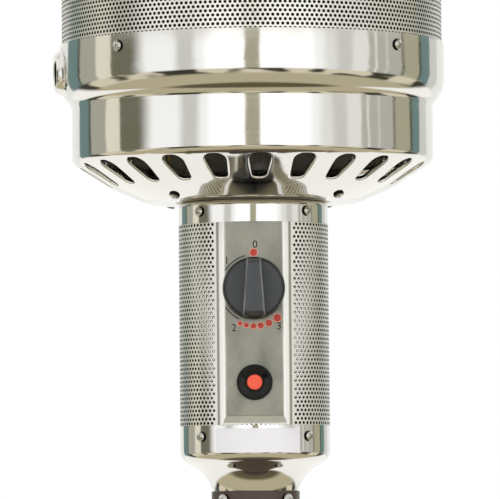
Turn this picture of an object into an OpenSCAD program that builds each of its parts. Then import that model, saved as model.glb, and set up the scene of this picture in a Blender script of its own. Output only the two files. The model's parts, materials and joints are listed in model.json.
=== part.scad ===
// Free-standing gas patio heater: base with wheels, lifting tank housing, pole,
// control housing, burner bowl, perforated emitter and reflector dome.
// Millimetres, +Z up, origin on the floor under the pole, controls face -Y.

/* [Base] */
// Outer radius of the pressed base
base_r = 240; // [220:5:280]
// Height of the base's top face above the floor
base_h = 26; // [22:1:34]
// Sheet thickness of the base
base_t = 2; // [1.5:0.5:3]
// Rounding of the base's upper edge
base_edge_r = 10; // [6:1:14]
// Width of the flange that stands on the floor
base_flange_w = 16; // [12:1:22]

/* [Support legs] */
// Width of a leg's flat bar
leg_w = 30; // [24:1:36]
// Thickness of a leg's flat bar
leg_t = 5; // [4:0.5:6]
// Radius of the legs' outer faces
leg_r = 198; // [190:1:200]
// Height where a leg turns in towards the pole
leg_shoulder_z = 520; // [500:5:540]
// Height where a leg turns up along the pole socket
leg_tab_z = 625; // [615:1:632]
// Length of a leg's foot on the base
leg_foot_l = 46; // [40:1:55]

/* [Pole] */
// Outer radius of the pole
pole_r = 30; // [27:0.5:33]
// Wall of the pole
pole_t = 1; // [1:0.1:1.5]
// Height of the pole's top edge, where the head begins
pole_top = 1480; // [1350:10:1550]
// Height of the pole's lower edge
pole_bottom = 600; // [590:1:606]
// Wall of the socket that holds the pole
socket_wall = 4; // [3:0.5:5]
// Height of the top of the socket
socket_top = 662; // [655:1:664]

/* [Tank housing] */
// Outer radius of the tank housing
tank_r = 206; // [206:1:215]
// Sheet thickness of the tank housing
tank_t = 1.2; // [1:0.1:1.5]
// Height of the seam between the shell and its top
tank_seam_z = 632; // [625:1:650]
// Height of the top's inner rim at the pole
tank_neck_z = 678; // [676:1:700]
// Number of vent slots round the foot of the shell
vent_count = 12; // [6:1:16]
// Length of a vent slot
vent_l = 40; // [25:1:60]
// Width of a vent slot
vent_w = 10; // [6:1:14]

/* [Wheels] */
// Radius of a wheel
wheel_r = 62; // [50:1:64]
// Width of a wheel
wheel_w = 30; // [24:1:36]
// Radius of the axle
axle_r = 5; // [4:0.5:6]
// Gap between a wheel and the floor while the heater stands
wheel_lift = 10; // [6:1:16]
// Width of the bracket that holds the axle
bracket_w = 110; // [90:5:130]
// Thickness of the bracket
bracket_t = 3; // [2.5:0.5:4]

/* [Control housing] */
// Outer radius of the control housing
housing_r = 51; // [50:0.5:54]
// Sheet thickness of the head's pieces
sheet_t = 1; // [0.8:0.1:1.2]
// Depth that the neck reaches down into the pole
neck_insert = 40; // [30:1:60]
// Height of the perforated wrap's lower edge above the pole
wrap_z0 = 44.5; // [42:0.5:48]
// Height of the perforated wrap's upper edge above the pole
wrap_z1 = 181.3; // [178:0.5:186]
// Height of the housing cap's top above the pole
cap_top = 196.9; // [195:0.1:200]
// Number of flat strips round the wrap
wrap_sides = 40; // [40:4:48]
// Rows of holes in the wrap
wrap_rows = 13; // [8:1:14]
// Radius of a hole in the wrap
wrap_hole_r = 2.4; // [1.5:0.1:2.8]

/* [Control panel] */
// Distance of the panel's face from the axis
panel_y = 53.5; // [52.6:0.1:56]
// Width of the panel's flat face
panel_face_w = 40.4; // [38:0.2:42]
// Width of the panel where it meets the housing
panel_w = 50.4; // [49.6:0.2:52]
// Sheet thickness of the panel
panel_t = 1.2; // [0.8:0.1:1.2]
// Height of the bevel at the panel's foot
panel_bevel = 6; // [4:0.5:9]

/* [Knob and valve] */
// Height of the knob's axis above the pole
knob_z = 136; // [130:1:140]
// Radius of the knob
knob_r = 21; // [19:0.5:22]
// Depth of the knob's round skirt
knob_skirt = 10; // [9:0.5:14]
// Height of the grip ridge above the skirt
knob_grip = 12; // [8:0.5:15]
// Width of the grip ridge at its pointer end
grip_top_w = 12; // [9:0.5:13]
// Width of the grip ridge at its other end
grip_foot_w = 15.5; // [13:0.5:18]
// Travel of the knob when it is pushed in
knob_push = 4; // [2:0.5:4]
// Radius of the valve stem
stem_r = 4; // [3:0.25:4]
// Radius of the turning valve plug
plug_r = 8; // [7:0.5:9]

/* [Igniter] */
// Height of the igniter's axis above the pole
igniter_z = 73; // [70:1:80]
// Radius of the igniter's black bezel
bezel_r = 12; // [11:0.5:13]
// Radius of the igniter's push button
button_r = 5.15; // [4.5:0.05:5.6]
// Travel of the button
button_travel = 6; // [3:0.5:6]
// Radius of the igniter's barrel
barrel_r = 9; // [8.5:0.25:9.5]

/* [Burner bowl] */
// Radius of the bowl's upper band
band1_r = 131.3; // [128:0.1:135]
// Radius of the bowl's lower band
band2_r = 123.3; // [121:0.1:125]
// Height of the bowl's rim above the pole
bowl_rim_z = 304; // [300:1:310]
// Height where the upper band begins to roll in
roll_z1 = 271; // [269:0.2:274]
// Height where the roll meets the lower band
roll_z2 = 263; // [261:0.2:266]
// Radius of the fillet under the lower band
dish_fillet = 7.5; // [5:0.5:12]
// Slope of the dish's outer part in degrees
rim_slope = 34.5; // [32:0.1:36]
// Radius where the dish grows steeper
dish_knee_r = 98; // [96:0.5:101]
// Slope of the dish's inner part in degrees
dish_slope = 23.3; // [22:0.1:25]
// Radius where the dish flattens out
dish_flat_r = 73; // [70:0.5:75]
// Number of vent slots in the dish
slot_count = 24; // [18:2:26]
// Inner radius of the ring of slots
slot_r0 = 96; // [94:0.5:98]
// Outer radius of the ring of slots
slot_r1 = 119.5; // [117:0.5:120]
// Width of a slot's inner end
slot_w0 = 9; // [7:0.5:10]
// Width of a slot's outer end
slot_w1 = 16.5; // [14:0.5:17]
// Turn of the bowl on the housing in degrees
bowl_turn = 2.5; // [0:0.5:10]
// Radius of the hole in the lighting port
port_r = 10; // [8:0.5:11]
// Height of the lighting port above the pole
port_z = 285; // [284:0.5:288]

/* [Emitter] */
// Height of the emitter screen above the bowl's rim
emitter_h = 290; // [250:5:330]
// Sheet thickness of the screen
screen_t = 0.8; // [0.6:0.1:1]
// Number of flat strips round the screen
screen_sides = 60; // [48:4:60]
// Rows of holes up the screen
screen_rows = 17; // [12:1:18]
// Radius of a hole in the screen
screen_hole_r = 4.5; // [3:0.1:5]

/* [Reflector] */
// Outer radius of the reflector
reflector_r = 415; // [380:5:430]
// Height of the posts between the emitter lid and the reflector
post_h = 52; // [40:1:70]
// Depth from the reflector's crown to its rim
reflector_drop = 118; // [90:1:130]
// Sheet thickness of the reflector
reflector_t = 1.5; // [1:0.1:2]
// Radius of the circle of posts
post_ring_r = 62; // [50:1:80]

/* [Fits] */
// Gap between pieces that are pushed together
clear = 0.2; // [0.15:0.05:0.3]
// Radial gap of a shaft that turns or slides
run_clear = 0.05; // [0.03:0.01:0.08]
// Gap between faces that seat on each other
seat = 0.1; // [0.05:0.05:0.15]

/* [Hidden] */
$fn = 96;
eps = 0.5;
arc_steps = 8;

brown = [0.31, 0.25, 0.23];
steel = [0.78, 0.78, 0.76];
satin = [0.66, 0.65, 0.62];
black = [0.1, 0.1, 0.11];
slate = [0.24, 0.26, 0.29];
red = [0.9, 0.32, 0.22];
brass = [0.76, 0.6, 0.3];
alloy = [0.72, 0.73, 0.75];
white = [0.92, 0.9, 0.86];

// Screws and bolts
m6_r = 3;
m6_head_r = 5.5;
m6_head_h = 4;
m4_r = 2;
m4_head_r = 3.6;
m4_head_h = 2;

// Heights and depths that several pieces share
leg_angles = [90, 210, 330];
foot_bolt_r = leg_r - leg_foot_l * 0.6;
pad_r = pole_r + socket_wall + clear + 2;
pad_z0 = pole_bottom + 12;
top_bolt_z = (leg_tab_z + 8 + socket_top) / 2;
pole_bolt_z = -6;
lower_screw_z = 37;
upper_screw_z = (wrap_z1 + cap_top) / 2;
spigot_t = 1;
spigot_l = 9;
spigot_r = housing_r - sheet_t - clear;
axle_y = base_r + 50;
axle_z = wheel_lift + wheel_r;
panel_back = panel_y - panel_t;
valve_front = panel_back - seat;
knob_back = panel_y + knob_push + 0.8;
stem_tip = knob_back + knob_skirt - 2;
plug_front = valve_front - 8.4;
plug_len = 23.6;
stem_flat = 2.5;
port_turn = 184;
dish_tan = tan(dish_slope);
throat_r = 30;
bowl_foot_z = cap_top + seat;
foot_fillet = 16;
knee_fillet = 80;
knee_run = knee_fillet * tan((rim_slope - dish_slope) / 2);
roll_fillet_1 = 14;
roll_fillet_2 = 8.5;
cap_edge_r = 4;
band_screw_z = bowl_rim_z - 8;
screen_r = band1_r - sheet_t - 0.4;
screen_z0 = band_screw_z - 9;
screen_z1 = bowl_rim_z + emitter_h;
lid_t = 1.2;
lid_top = screen_z1 + seat + lid_t;
crown_z = lid_top + seat + post_h + seat;
pan_z = cap_top + 17.1;
pan_t = 1.2;
pan_r0 = 14;
pan_r1 = dish_knee_r - knee_run - 1;
pan_knee_r = 64;
venturi_r = 16;
venturi_t = 1.5;
burner_z = pan_z + 70;
burner_r = 60;
burner_h = 26;
burner_t = 1.5;
pilot_angle = 187;
pilot_r = burner_r + 14;
pilot_feed_r = 20;
pilot_rise_r = 44;
pilot_tube_r = 2;

function unit(v) = v / norm(v);
function flat(p) = [p[0], p[1]];

// Points of an arc that rounds the corner b between a and c
function corner(a, b, c, r) =
  r == undef || r <= 0 ? [b] :
  let (
    u = unit(a - b),
    v = unit(c - b),
    half = acos(max(-1, min(1, u * v))) / 2,
    centre = b + unit(u + v) * r / sin(half),
    from = b + u * r / tan(half) - centre,
    to = b + v * r / tan(half) - centre,
    start = atan2(from[1], from[0]),
    sweep = (atan2(to[1], to[0]) - start + 540) % 360 - 180
  )
  [for (i = [0:arc_steps])
    let (angle = start + sweep * i / arc_steps)
    centre + r * [cos(angle), sin(angle)]];

// An open path of [x, y, radius] points with its corners rounded
function rounded(path) =
  let (last = len(path) - 1)
  [for (i = [0:last]) each i == 0 || i == last
    ? [flat(path[i])]
    : corner(flat(path[i - 1]), flat(path[i]), flat(path[i + 1]), path[i][2])];

// A closed outline of [x, y, radius] points with its corners rounded
function rounded_loop(path) =
  let (n = len(path))
  [for (i = [0:n - 1])
    let (before = path[(i + n - 1) % n], after = path[(i + 1) % n])
    each corner(flat(before), flat(path[i]), flat(after), path[i][2])];

// A path thickened by t on the left of its direction of travel
function ribbon(path, t) =
  let (last = len(path) - 1)
  concat(path, [for (i = [last:-1:0])
    let (d = unit(path[min(i + 1, last)] - path[max(i - 1, 0)]))
    path[i] + t * [-d[1], d[0]]]);

// Corners of a regular polygon whose flats lie at radius r
function flats(r, n) =
  [for (i = [0:n - 1]) r / cos(180 / n) * [cos(360 * (i + 0.5) / n), sin(360 * (i + 0.5) / n)]];

// Height of the dish's outer face at radius r on its inner slope
function dish_z(r) = bowl_foot_z + (r - dish_flat_r) * dish_tan;
dish_edge_z = dish_z(dish_knee_r) + (band2_r - dish_knee_r) * tan(rim_slope);

// A sheet of revolution from a rounded path
module spun(path, t) {
  rotate_extrude() polygon(ribbon(rounded(path), t));
}

// A ring or tube along Z
module tube(r0, r1, h) {
  difference() {
    cylinder(r = r1, h = h);
    translate([0, 0, -eps]) cylinder(r = r0, h = h + 2 * eps);
  }
}

// Moves the head's pieces up to the pole's top
module on_pole() {
  translate([0, 0, pole_top]) children();
}

// Turns a piece that is drawn along +Z to point out of the panel, at height z on the head
module on_panel(z) {
  on_pole() translate([0, 0, z]) rotate([90, 0, 0]) children();
}

// Turns a piece that is drawn along +Z to point outwards at an angle and a height
module outward(angle, z) {
  rotate([0, 0, angle]) translate([0, 0, z]) rotate([0, 90, 0]) children();
}

// A screw drawn along +Z with its head's seat at z = 0
module screw(r, head_r, head_h, l) {
  translate([0, 0, -l]) cylinder(r = r, h = l);
  rotate_extrude() polygon(rounded([[0, 0], [head_r, 0], [head_r, head_h, head_h * 0.6], [0, head_h]]));
}

// A hexagon bolt drawn along +Z with its head's seat at z = 0
module hex_bolt(r, head_r, head_h, l) {
  translate([0, 0, -l]) cylinder(r = r, h = l);
  cylinder(r = head_r, h = head_h, $fn = 6);
}

module base_plate() {
  color(brown) difference() {
    spun([[base_r - base_flange_w, 0], [base_r, 0, base_t], [base_r, base_h, base_edge_r], [0, base_h]],
      base_t);
    for (a = leg_angles)
      rotate([0, 0, a]) translate([foot_bolt_r, 0, 0]) cylinder(r = m6_r + clear, h = base_h + eps);
    for (x = [-1, 1])
      translate([x * bracket_w / 4, base_r - 20, 0]) cylinder(r = m6_r + clear, h = base_h + eps);
  }
}

leg_path = [[leg_r - leg_foot_l, base_h], [leg_r, base_h, 12], [leg_r, leg_shoulder_z, 60],
  [pad_r + leg_t, leg_tab_z, 20], [pad_r + leg_t, socket_top]];

module support_leg(angle) {
  color(brown) difference() {
    rotate([0, 0, angle]) translate([0, leg_w / 2, 0]) rotate([90, 0, 0])
      linear_extrude(leg_w) polygon(ribbon(rounded(leg_path), leg_t));
    rotate([0, 0, angle]) translate([foot_bolt_r, 0, base_h - eps])
      cylinder(r = m6_r + clear, h = leg_t + 2 * eps);
    outward(angle, top_bolt_z) translate([0, 0, pad_r - eps])
      cylinder(r = m6_r + clear, h = leg_t + 2 * eps);
  }
}

module support_leg_rear() support_leg(leg_angles[0]);
module support_leg_left() support_leg(leg_angles[1]);
module support_leg_right() support_leg(leg_angles[2]);

module leg_foot_bolts() {
  color(steel) for (a = leg_angles)
    rotate([0, 0, a]) translate([foot_bolt_r, 0, base_h + leg_t])
      hex_bolt(m6_r, m6_head_r, m6_head_h, leg_t + base_t + 6);
}

module leg_top_bolts() {
  color(steel) for (a = leg_angles)
    outward(a, top_bolt_z) translate([0, 0, pad_r + leg_t])
      hex_bolt(m6_r, m6_head_r, m6_head_h, leg_t + pad_r - pole_r - clear - 1);
}

// The socket's floor carries the pole's lower edge, and its pads carry the legs
module pole_socket() {
  color(brown) difference() {
    union() {
      translate([0, 0, pole_bottom - socket_wall])
        cylinder(r = pole_r + clear + socket_wall, h = socket_top - pole_bottom + socket_wall);
      for (a = leg_angles)
        rotate([0, 0, a]) translate([pole_r, -leg_w / 2, pad_z0])
          cube([pad_r - pole_r, leg_w, socket_top - pad_z0]);
    }
    translate([0, 0, pole_bottom]) cylinder(r = pole_r + clear, h = socket_top);
    translate([0, 0, pole_bottom - 2 * socket_wall]) cylinder(r = pole_r - 8, h = 4 * socket_wall);
    for (a = leg_angles)
      outward(a, top_bolt_z) cylinder(r = m6_r + clear, h = pad_r + eps);
  }
}

module pole() {
  color(brown) difference() {
    translate([0, 0, pole_bottom]) tube(pole_r - pole_t, pole_r, pole_top - pole_bottom);
    for (a = [45:90:315])
      on_pole() outward(a, pole_bolt_z) cylinder(r = m4_r + clear, h = pole_r + eps);
  }
}

module pole_bolts() {
  color(steel) on_pole() for (a = [45:90:315])
    outward(a, pole_bolt_z) translate([0, 0, pole_r + seat]) screw(m4_r, m4_head_r + 1, m4_head_h + 0.6, 6);
}

// The shell stands on the base and lifts off with its top
module tank_shell() {
  h = tank_seam_z - base_h - seat;
  color(brown) difference() {
    translate([0, 0, base_h + seat]) tube(tank_r - tank_t, tank_r, h);
    for (i = [0:vent_count - 1]) rotate([0, 0, 360 * (i + 0.5) / vent_count])
      translate([tank_r - 10, 0, base_h + vent_l + 20]) rotate([0, 90, 0]) {
        translate([-(vent_l - vent_w) / 2, -vent_w / 2, 0]) cube([vent_l - vent_w, vent_w, 20]);
        for (s = [-1, 1]) translate([s * (vent_l - vent_w) / 2, 0, 0]) cylinder(r = vent_w / 2, h = 20);
      }
    for (a = [45:90:315])
      outward(a, tank_seam_z - 8) cylinder(r = m4_r + clear, h = tank_r + eps);
  }
}

module tank_top() {
  neck_r = pole_r + 8;
  sleeve_r = tank_r - tank_t - clear;
  color(brown) difference() {
    union() {
      spun([[tank_r, tank_seam_z + seat], [tank_r, tank_seam_z + 18, 12], [neck_r + 26, tank_neck_z, 20],
        [neck_r, tank_neck_z, 3], [neck_r, tank_neck_z + 14]], tank_t);
      translate([0, 0, tank_seam_z - 16]) tube(sleeve_r - tank_t, sleeve_r, 16);
      translate([0, 0, tank_seam_z + seat]) tube(sleeve_r - tank_t, tank_r - tank_t / 2, 3);
      translate([0, 0, tank_seam_z - eps]) tube(sleeve_r - tank_t, sleeve_r, 2);
    }
    for (a = [45:90:315])
      outward(a, tank_seam_z - 8) cylinder(r = m4_r + clear, h = tank_r + eps);
  }
}

module tank_screws() {
  color(steel) for (a = [45:90:315])
    outward(a, tank_seam_z - 8) translate([0, 0, tank_r + seat]) screw(m4_r, m4_head_r, m4_head_h, 7);
}

// A plastic bush guides the tank housing on the pole
module pole_collar() {
  outer = pole_r + 8 - tank_t - clear;
  color(black) translate([0, 0, tank_neck_z + 14 + seat]) rotate_extrude()
    polygon(rounded([[pole_r + 0.6, -18], [outer, -18], [outer, 0], [pole_r + 10, 0], [pole_r + 10, 5, 3],
      [pole_r + 0.6, 5]]));
}

module wheel_bracket() {
  bracket_path = [[tank_r + 6, base_h], [base_r + 8, base_h, 10], [axle_y - 4, axle_z - 5]];
  color(brown) difference() {
    translate([-bracket_w / 2, 0, 0]) rotate([90, 0, 90]) linear_extrude(bracket_w) difference() {
      union() {
        polygon(ribbon(rounded(bracket_path), bracket_t));
        translate([axle_y, axle_z]) circle(r = axle_r + 4);
      }
      translate([axle_y, axle_z]) circle(r = axle_r + run_clear);
    }
    for (x = [-1, 1])
      translate([x * bracket_w / 4, base_r - 20, 0]) cylinder(r = m6_r + clear, h = base_h + 3 * bracket_t);
  }
}

module bracket_bolts() {
  color(steel) for (x = [-1, 1])
    translate([x * bracket_w / 4, base_r - 20, base_h + bracket_t + seat])
      hex_bolt(m6_r, m6_head_r, m6_head_h, bracket_t + base_t + 6);
}

wheel_x = bracket_w / 2 + 2;
axle_half = wheel_x + wheel_w + 6;

module axle() {
  color(steel) translate([-axle_half, axle_y, axle_z]) rotate([0, 90, 0])
    cylinder(r = axle_r, h = 2 * axle_half);
}

module wheel(side) {
  hub = axle_r + 9;
  rim = wheel_r - 12;
  web = 8;
  half = wheel_w / 2;
  bore = axle_r + run_clear;
  color(black) translate([side * (wheel_x + half), axle_y, axle_z]) rotate([0, 90, 0]) difference() {
    rotate_extrude() polygon(rounded_loop([
      [bore, -half], [hub, -half], [hub, -web / 2, 3], [rim, -web / 2, 3],
      [rim, -half], [wheel_r, -half, 5], [wheel_r, half, 5], [rim, half],
      [rim, web / 2, 3], [hub, web / 2, 3], [hub, half], [bore, half]]));
    for (i = [0:5]) rotate([0, 0, 60 * i]) translate([(hub + rim) / 2, 0, -web])
      cylinder(r = (rim - hub) / 2 - 5, h = 2 * web);
  }
}

module wheel_left() wheel(-1);
module wheel_right() wheel(1);

module axle_caps() {
  color(steel) for (s = [-1, 1])
    translate([s * (wheel_x + wheel_w + 0.4), axle_y, axle_z]) rotate([0, 90 * s, 0]) difference() {
      rotate_extrude() polygon(rounded([[0, 0], [axle_r + 4, 0], [axle_r + 4, 9, 4], [0, 9]]));
      translate([0, 0, -eps]) cylinder(r = axle_r + run_clear, h = axle_half - wheel_x - wheel_w + eps);
    }
}

// The neck slides into the pole, flares out and carries the control housing
module neck_cup() {
  neck_r = pole_r - pole_t - clear;
  color(steel) on_pole() difference() {
    union() {
      spun([[neck_r, -neck_insert], [neck_r, 10.5, 22], [housing_r, 22.5, 9], [housing_r, wrap_z0 - seat]],
        sheet_t);
      translate([0, 0, lower_screw_z - 5])
        tube(spigot_r - spigot_t, housing_r - sheet_t / 2, wrap_z0 - lower_screw_z + 4);
      translate([0, 0, wrap_z0 - 2]) tube(spigot_r - spigot_t, spigot_r, spigot_l + 2);
    }
    for (a = [45:90:315]) {
      outward(a, pole_bolt_z) cylinder(r = m4_r + clear, h = pole_r);
      outward(a, lower_screw_z) cylinder(r = m4_r + clear, h = housing_r + eps);
    }
  }
}

// Perforated sheet, plain along its edges and open behind the panel
module housing_wrap() {
  step = 360 / wrap_sides;
  h = wrap_z1 - wrap_z0;
  pitch = h / (wrap_rows + 1);
  open_w = panel_face_w;
  first = ceil(asin(panel_w / 2 / housing_r) / step + 0.8);
  color(steel) on_pole() translate([0, 0, wrap_z0]) difference() {
    linear_extrude(h) polygon(flats(housing_r, wrap_sides));
    translate([0, 0, -eps]) linear_extrude(h + 2 * eps) polygon(flats(housing_r - sheet_t, wrap_sides));
    translate([-open_w / 2, -housing_r - 5, -eps]) cube([open_w, 30, h + 2 * eps]);
    for (i = [first:wrap_sides - first]) for (k = [1:wrap_rows - i % 2])
      outward(-90 + step * i, pitch * (k + 0.5 * (i % 2))) translate([0, 0, housing_r - 5])
        cylinder(r = wrap_hole_r, h = 10, $fn = 24);
  }
}

module housing_cap() {
  color(steel) on_pole() difference() {
    union() {
      spun([[housing_r, wrap_z1 + seat], [housing_r, cap_top, cap_edge_r], [throat_r, cap_top]], sheet_t);
      translate([0, 0, wrap_z1 + 1]) tube(spigot_r - spigot_t, housing_r - sheet_t / 2, 7);
      translate([0, 0, wrap_z1 - spigot_l]) tube(spigot_r - spigot_t, spigot_r, spigot_l + 2);
    }
    for (a = [45:90:315])
      outward(a, upper_screw_z) cylinder(r = m4_r + clear, h = housing_r + eps);
  }
}

module housing_screws() {
  color(steel) on_pole() for (z = [lower_screw_z, upper_screw_z]) for (a = [45:90:315])
    outward(a, z) translate([0, 0, housing_r + seat]) screw(m4_r, m4_head_r, m4_head_h, 5);
}

// A raised tray with bevelled sides and foot that rests on the wrap
module control_panel() {
  y_edge = sqrt(pow(housing_r + clear, 2) - pow(panel_w / 2, 2));
  foot = wrap_z0 + clear;
  head = wrap_z1 - clear;
  edge_r = panel_t + 1.8;
  fold_r = panel_t + 0.8;
  across = [[-panel_w / 2, -y_edge], [-panel_face_w / 2, -panel_y, edge_r],
    [panel_face_w / 2, -panel_y, edge_r], [panel_w / 2, -y_edge]];
  along = [[y_edge, foot], [housing_r + clear, foot, fold_r], [panel_y, foot + panel_bevel, edge_r],
    [panel_y, head]];
  color(satin) on_pole() difference() {
    union() {
      intersection() {
        translate([0, 0, foot]) linear_extrude(head - foot) polygon(ribbon(rounded(across), panel_t));
        rotate([90, 0, -90]) translate([0, 0, -panel_w]) linear_extrude(2 * panel_w)
          polygon(concat(rounded(along), [[y_edge, head]]));
      }
      intersection() {
        translate([0, 0, foot]) linear_extrude(head - foot) polygon(rounded(across));
        rotate([90, 0, -90]) translate([0, 0, -panel_w]) linear_extrude(2 * panel_w)
          polygon(ribbon(rounded(along), panel_t));
      }
    }
    translate([0, 0, foot - eps]) cylinder(r = housing_r * 1.004 + clear / 2, h = head - foot + 2 * eps);
    translate([0, 0, knob_z]) rotate([90, 0, 0]) cylinder(r = stem_r + 1.5, h = panel_y + eps);
    translate([0, 0, igniter_z]) rotate([90, 0, 0]) cylinder(r = barrel_r + clear, h = panel_y + eps);
    for (x = [-1, 1]) translate([x * valve_screw_x, 0, knob_z]) rotate([90, 0, 0])
      cylinder(r = m4_r + clear, h = panel_y + eps);
  }
}

valve_screw_x = 13;
valve_w = 34;
valve_h = 36;
manifold_w = 22;
manifold_h = 48;
manifold_y = 12;
valve_boss = 5;
valve_back = valve_front - 36;
pilot_boss_top = 16;

// Die-cast valve: a plug housing behind the panel and a manifold on the heater's axis
module gas_valve() {
  color(alloy) on_panel(knob_z) difference() {
    union() {
      translate([-valve_w / 2, -valve_h / 2, valve_back])
        cube([valve_w, valve_h, valve_front - valve_boss - valve_back]);
      translate([0, 0, valve_front - valve_boss - eps]) cylinder(r = 9.5, h = valve_boss + eps);
      for (x = [-1, 1]) translate([x * valve_screw_x, 0, valve_front - valve_boss - eps])
        cylinder(r = 3.4, h = valve_boss + eps);
      translate([-manifold_w / 2, -manifold_h / 2, -manifold_y])
        cube([manifold_w, manifold_h, manifold_y + valve_back + eps]);
      rotate([-90, 0, 0]) rotate([0, 0, pilot_angle + bowl_turn]) translate([4, -5, pilot_boss_top - 12])
        cube([pilot_feed_r + 1, 10, 12]);
    }
    translate([0, 0, plug_front - plug_len - 0.2]) cylinder(r = plug_r + run_clear, h = plug_len + 0.4);
    translate([0, 0, plug_front]) cylinder(r = stem_r + 0.5, h = 20);
    for (x = [-1, 1]) translate([x * valve_screw_x, 0, valve_front - 9]) cylinder(r = m4_r + clear, h = 10);
    rotate([90, 0, 0]) translate([0, 0, -manifold_h]) cylinder(r = 4, h = 2 * manifold_h);
  }
}

module valve_screws() {
  color(steel) on_panel(knob_z) for (x = [-1, 1])
    translate([x * valve_screw_x, 0, panel_y + seat]) screw(m4_r, m4_head_r, m4_head_h, 9);
}

module valve_plug() {
  socket_flat = stem_flat + 0.1;
  color(brass) on_panel(knob_z) difference() {
    translate([0, 0, plug_front - plug_len]) cylinder(r = plug_r, h = plug_len);
    translate([-socket_flat, -socket_flat, plug_front - 14]) cube([2 * socket_flat, 2 * socket_flat, 15]);
    translate([0, 0, plug_front - 19]) rotate([0, 90, 0]) cylinder(r = 2, h = 30);
  }
}

// The stem's square end slides in the plug, and the knob is pressed on its round end
module valve_stem() {
  shoulder = plug_front + knob_push + 0.6;
  square_l = 7;
  color(steel) on_panel(knob_z) {
    translate([0, 0, shoulder]) cylinder(r = stem_r, h = stem_tip - shoulder);
    translate([-stem_flat, -stem_flat, plug_front - square_l])
      cube([2 * stem_flat, 2 * stem_flat, shoulder - plug_front + square_l + eps]);
  }
}

coil_rings = 8;
coil_sides = 6;

// A coil spring along +Z as one unbroken tube
module coil(r, wire_r, l, turns) {
  rings = turns * coil_rings;
  rise = (l - 2 * wire_r) / rings;
  echo(least_gap_between_turns = rise * coil_rings - 2 * wire_r);
  points = [for (i = [0:rings]) for (j = [0:coil_sides - 1])
    let (a = 360 * i / coil_rings, b = 360 * j / coil_sides, q = r + wire_r * cos(b))
    [q * cos(a), q * sin(a), wire_r + rise * i + wire_r * sin(b)]];
  sides = [for (i = [0:rings - 1]) for (j = [0:coil_sides - 1])
    let (a = coil_sides * i + j, b = coil_sides * i + (j + 1) % coil_sides)
    each [[a, b, b + coil_sides], [a, b + coil_sides, a + coil_sides]]];
  foot = [for (j = [1:coil_sides - 2]) [0, j + 1, j]];
  top = [for (j = [1:coil_sides - 2]) coil_sides * rings * [1, 1, 1] + [0, j, j + 1]];
  polyhedron(points, concat(sides, foot, top));
}

// The spring stands between the panel's face and the knob's hub
module stem_spring() {
  color(steel) on_panel(knob_z) translate([0, 0, panel_y + 0.3])
    coil(7.2, 0.5, knob_back + knob_skirt - 3 - panel_y - 0.6, 5);
}

module control_knob() {
  top = knob_back + knob_skirt;
  color(slate) on_panel(knob_z) difference() {
    union() {
      translate([0, 0, knob_back]) rotate_extrude()
        polygon(rounded([[0, 0], [knob_r, 0], [knob_r - 0.8, knob_skirt, 1.5], [0, knob_skirt]]));
      intersection() {
        translate([0, 0, top - eps]) linear_extrude(knob_grip + eps) polygon(rounded_loop([
          [-grip_top_w / 2, knob_r, 3], [-grip_foot_w / 2, -knob_r, 3],
          [grip_foot_w / 2, -knob_r, 3], [grip_top_w / 2, knob_r, 3]]));
        translate([0, 0, top - eps]) rotate_extrude()
          polygon(rounded([[0, 0], [knob_r - 0.9, 0], [knob_r - 2.5, knob_grip + eps, 4],
            [0, knob_grip + eps]]));
      }
    }
    translate([0, 0, knob_back - eps]) tube(stem_r + 2.2, knob_r - 2.5, knob_skirt - 3 + eps);
    translate([0, 0, knob_back - eps])
      cylinder(r = stem_r + run_clear, h = stem_tip - knob_back + eps + seat);
  }
}

bezel_h = 3.6;
button_front = panel_y + bezel_h + 0.4;
button_len = 16;
spring_room = 11.5;
igniter_bore_end = button_front - button_len - button_travel - spring_room;

// Moulded barrel with a dished bezel in front of the panel
module igniter_body() {
  color(black) on_panel(igniter_z) difference() {
    union() {
      translate([0, 0, panel_y + seat]) cylinder(r = bezel_r, h = bezel_h);
      translate([0, 0, 10]) cylinder(r = barrel_r, h = panel_y - 10 + eps);
    }
    translate([0, 0, igniter_bore_end]) cylinder(r = button_r + run_clear, h = panel_y);
    translate([0, 0, panel_y + bezel_h - 1.6]) cylinder(r1 = button_r + 1, r2 = bezel_r - 1.2, h = 2);
  }
}

module igniter_nut() {
  color(black) on_panel(igniter_z) translate([0, 0, panel_back - seat - 5]) difference() {
    cylinder(r = barrel_r + 4, h = 5, $fn = 6);
    translate([0, 0, -eps]) cylinder(r = barrel_r + run_clear, h = 5 + 2 * eps);
  }
}

module igniter_button() {
  color(red) on_panel(igniter_z) translate([0, 0, button_front - button_len]) rotate_extrude()
    polygon(rounded([[0, 0], [button_r, 0], [button_r, button_len, 1], [0, button_len]]));
}

module igniter_spring() {
  color(steel) on_panel(igniter_z) translate([0, 0, igniter_bore_end + 0.3])
    coil(3.8, 0.4, button_front - button_len - igniter_bore_end - 0.6, 7);
}

tilt_z = 60;
tilt_w = 22;
tilt_y = housing_r - sheet_t - 2.9;

module tilt_bracket() {
  color(satin) on_pole() translate([-tilt_w / 2, tilt_y, tilt_z]) cube([tilt_w, 1.5, 44]);
}

module tilt_switch() {
  color(black) on_pole() translate([0, tilt_y - 9.2, tilt_z + 6]) {
    cylinder(r = 9, h = 26);
    translate([-6, 0, 4]) cube([12, 9.1, 18]);
  }
}

// Brass union on the axis, open downwards for the gas hose
module inlet_fitting() {
  top = knob_z - manifold_h / 2 - seat;
  color(brass) on_pole() difference() {
    union() {
      translate([0, 0, top - 12]) cylinder(r = 10, h = 12, $fn = 6);
      translate([0, 0, top - 30]) cylinder(r = 7.9, h = 20);
    }
    translate([0, 0, top - 32]) cylinder(r = 4, h = 40);
  }
}

tube_z0 = knob_z + manifold_h / 2 + seat;
orifice_z = pan_z - 10;

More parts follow.
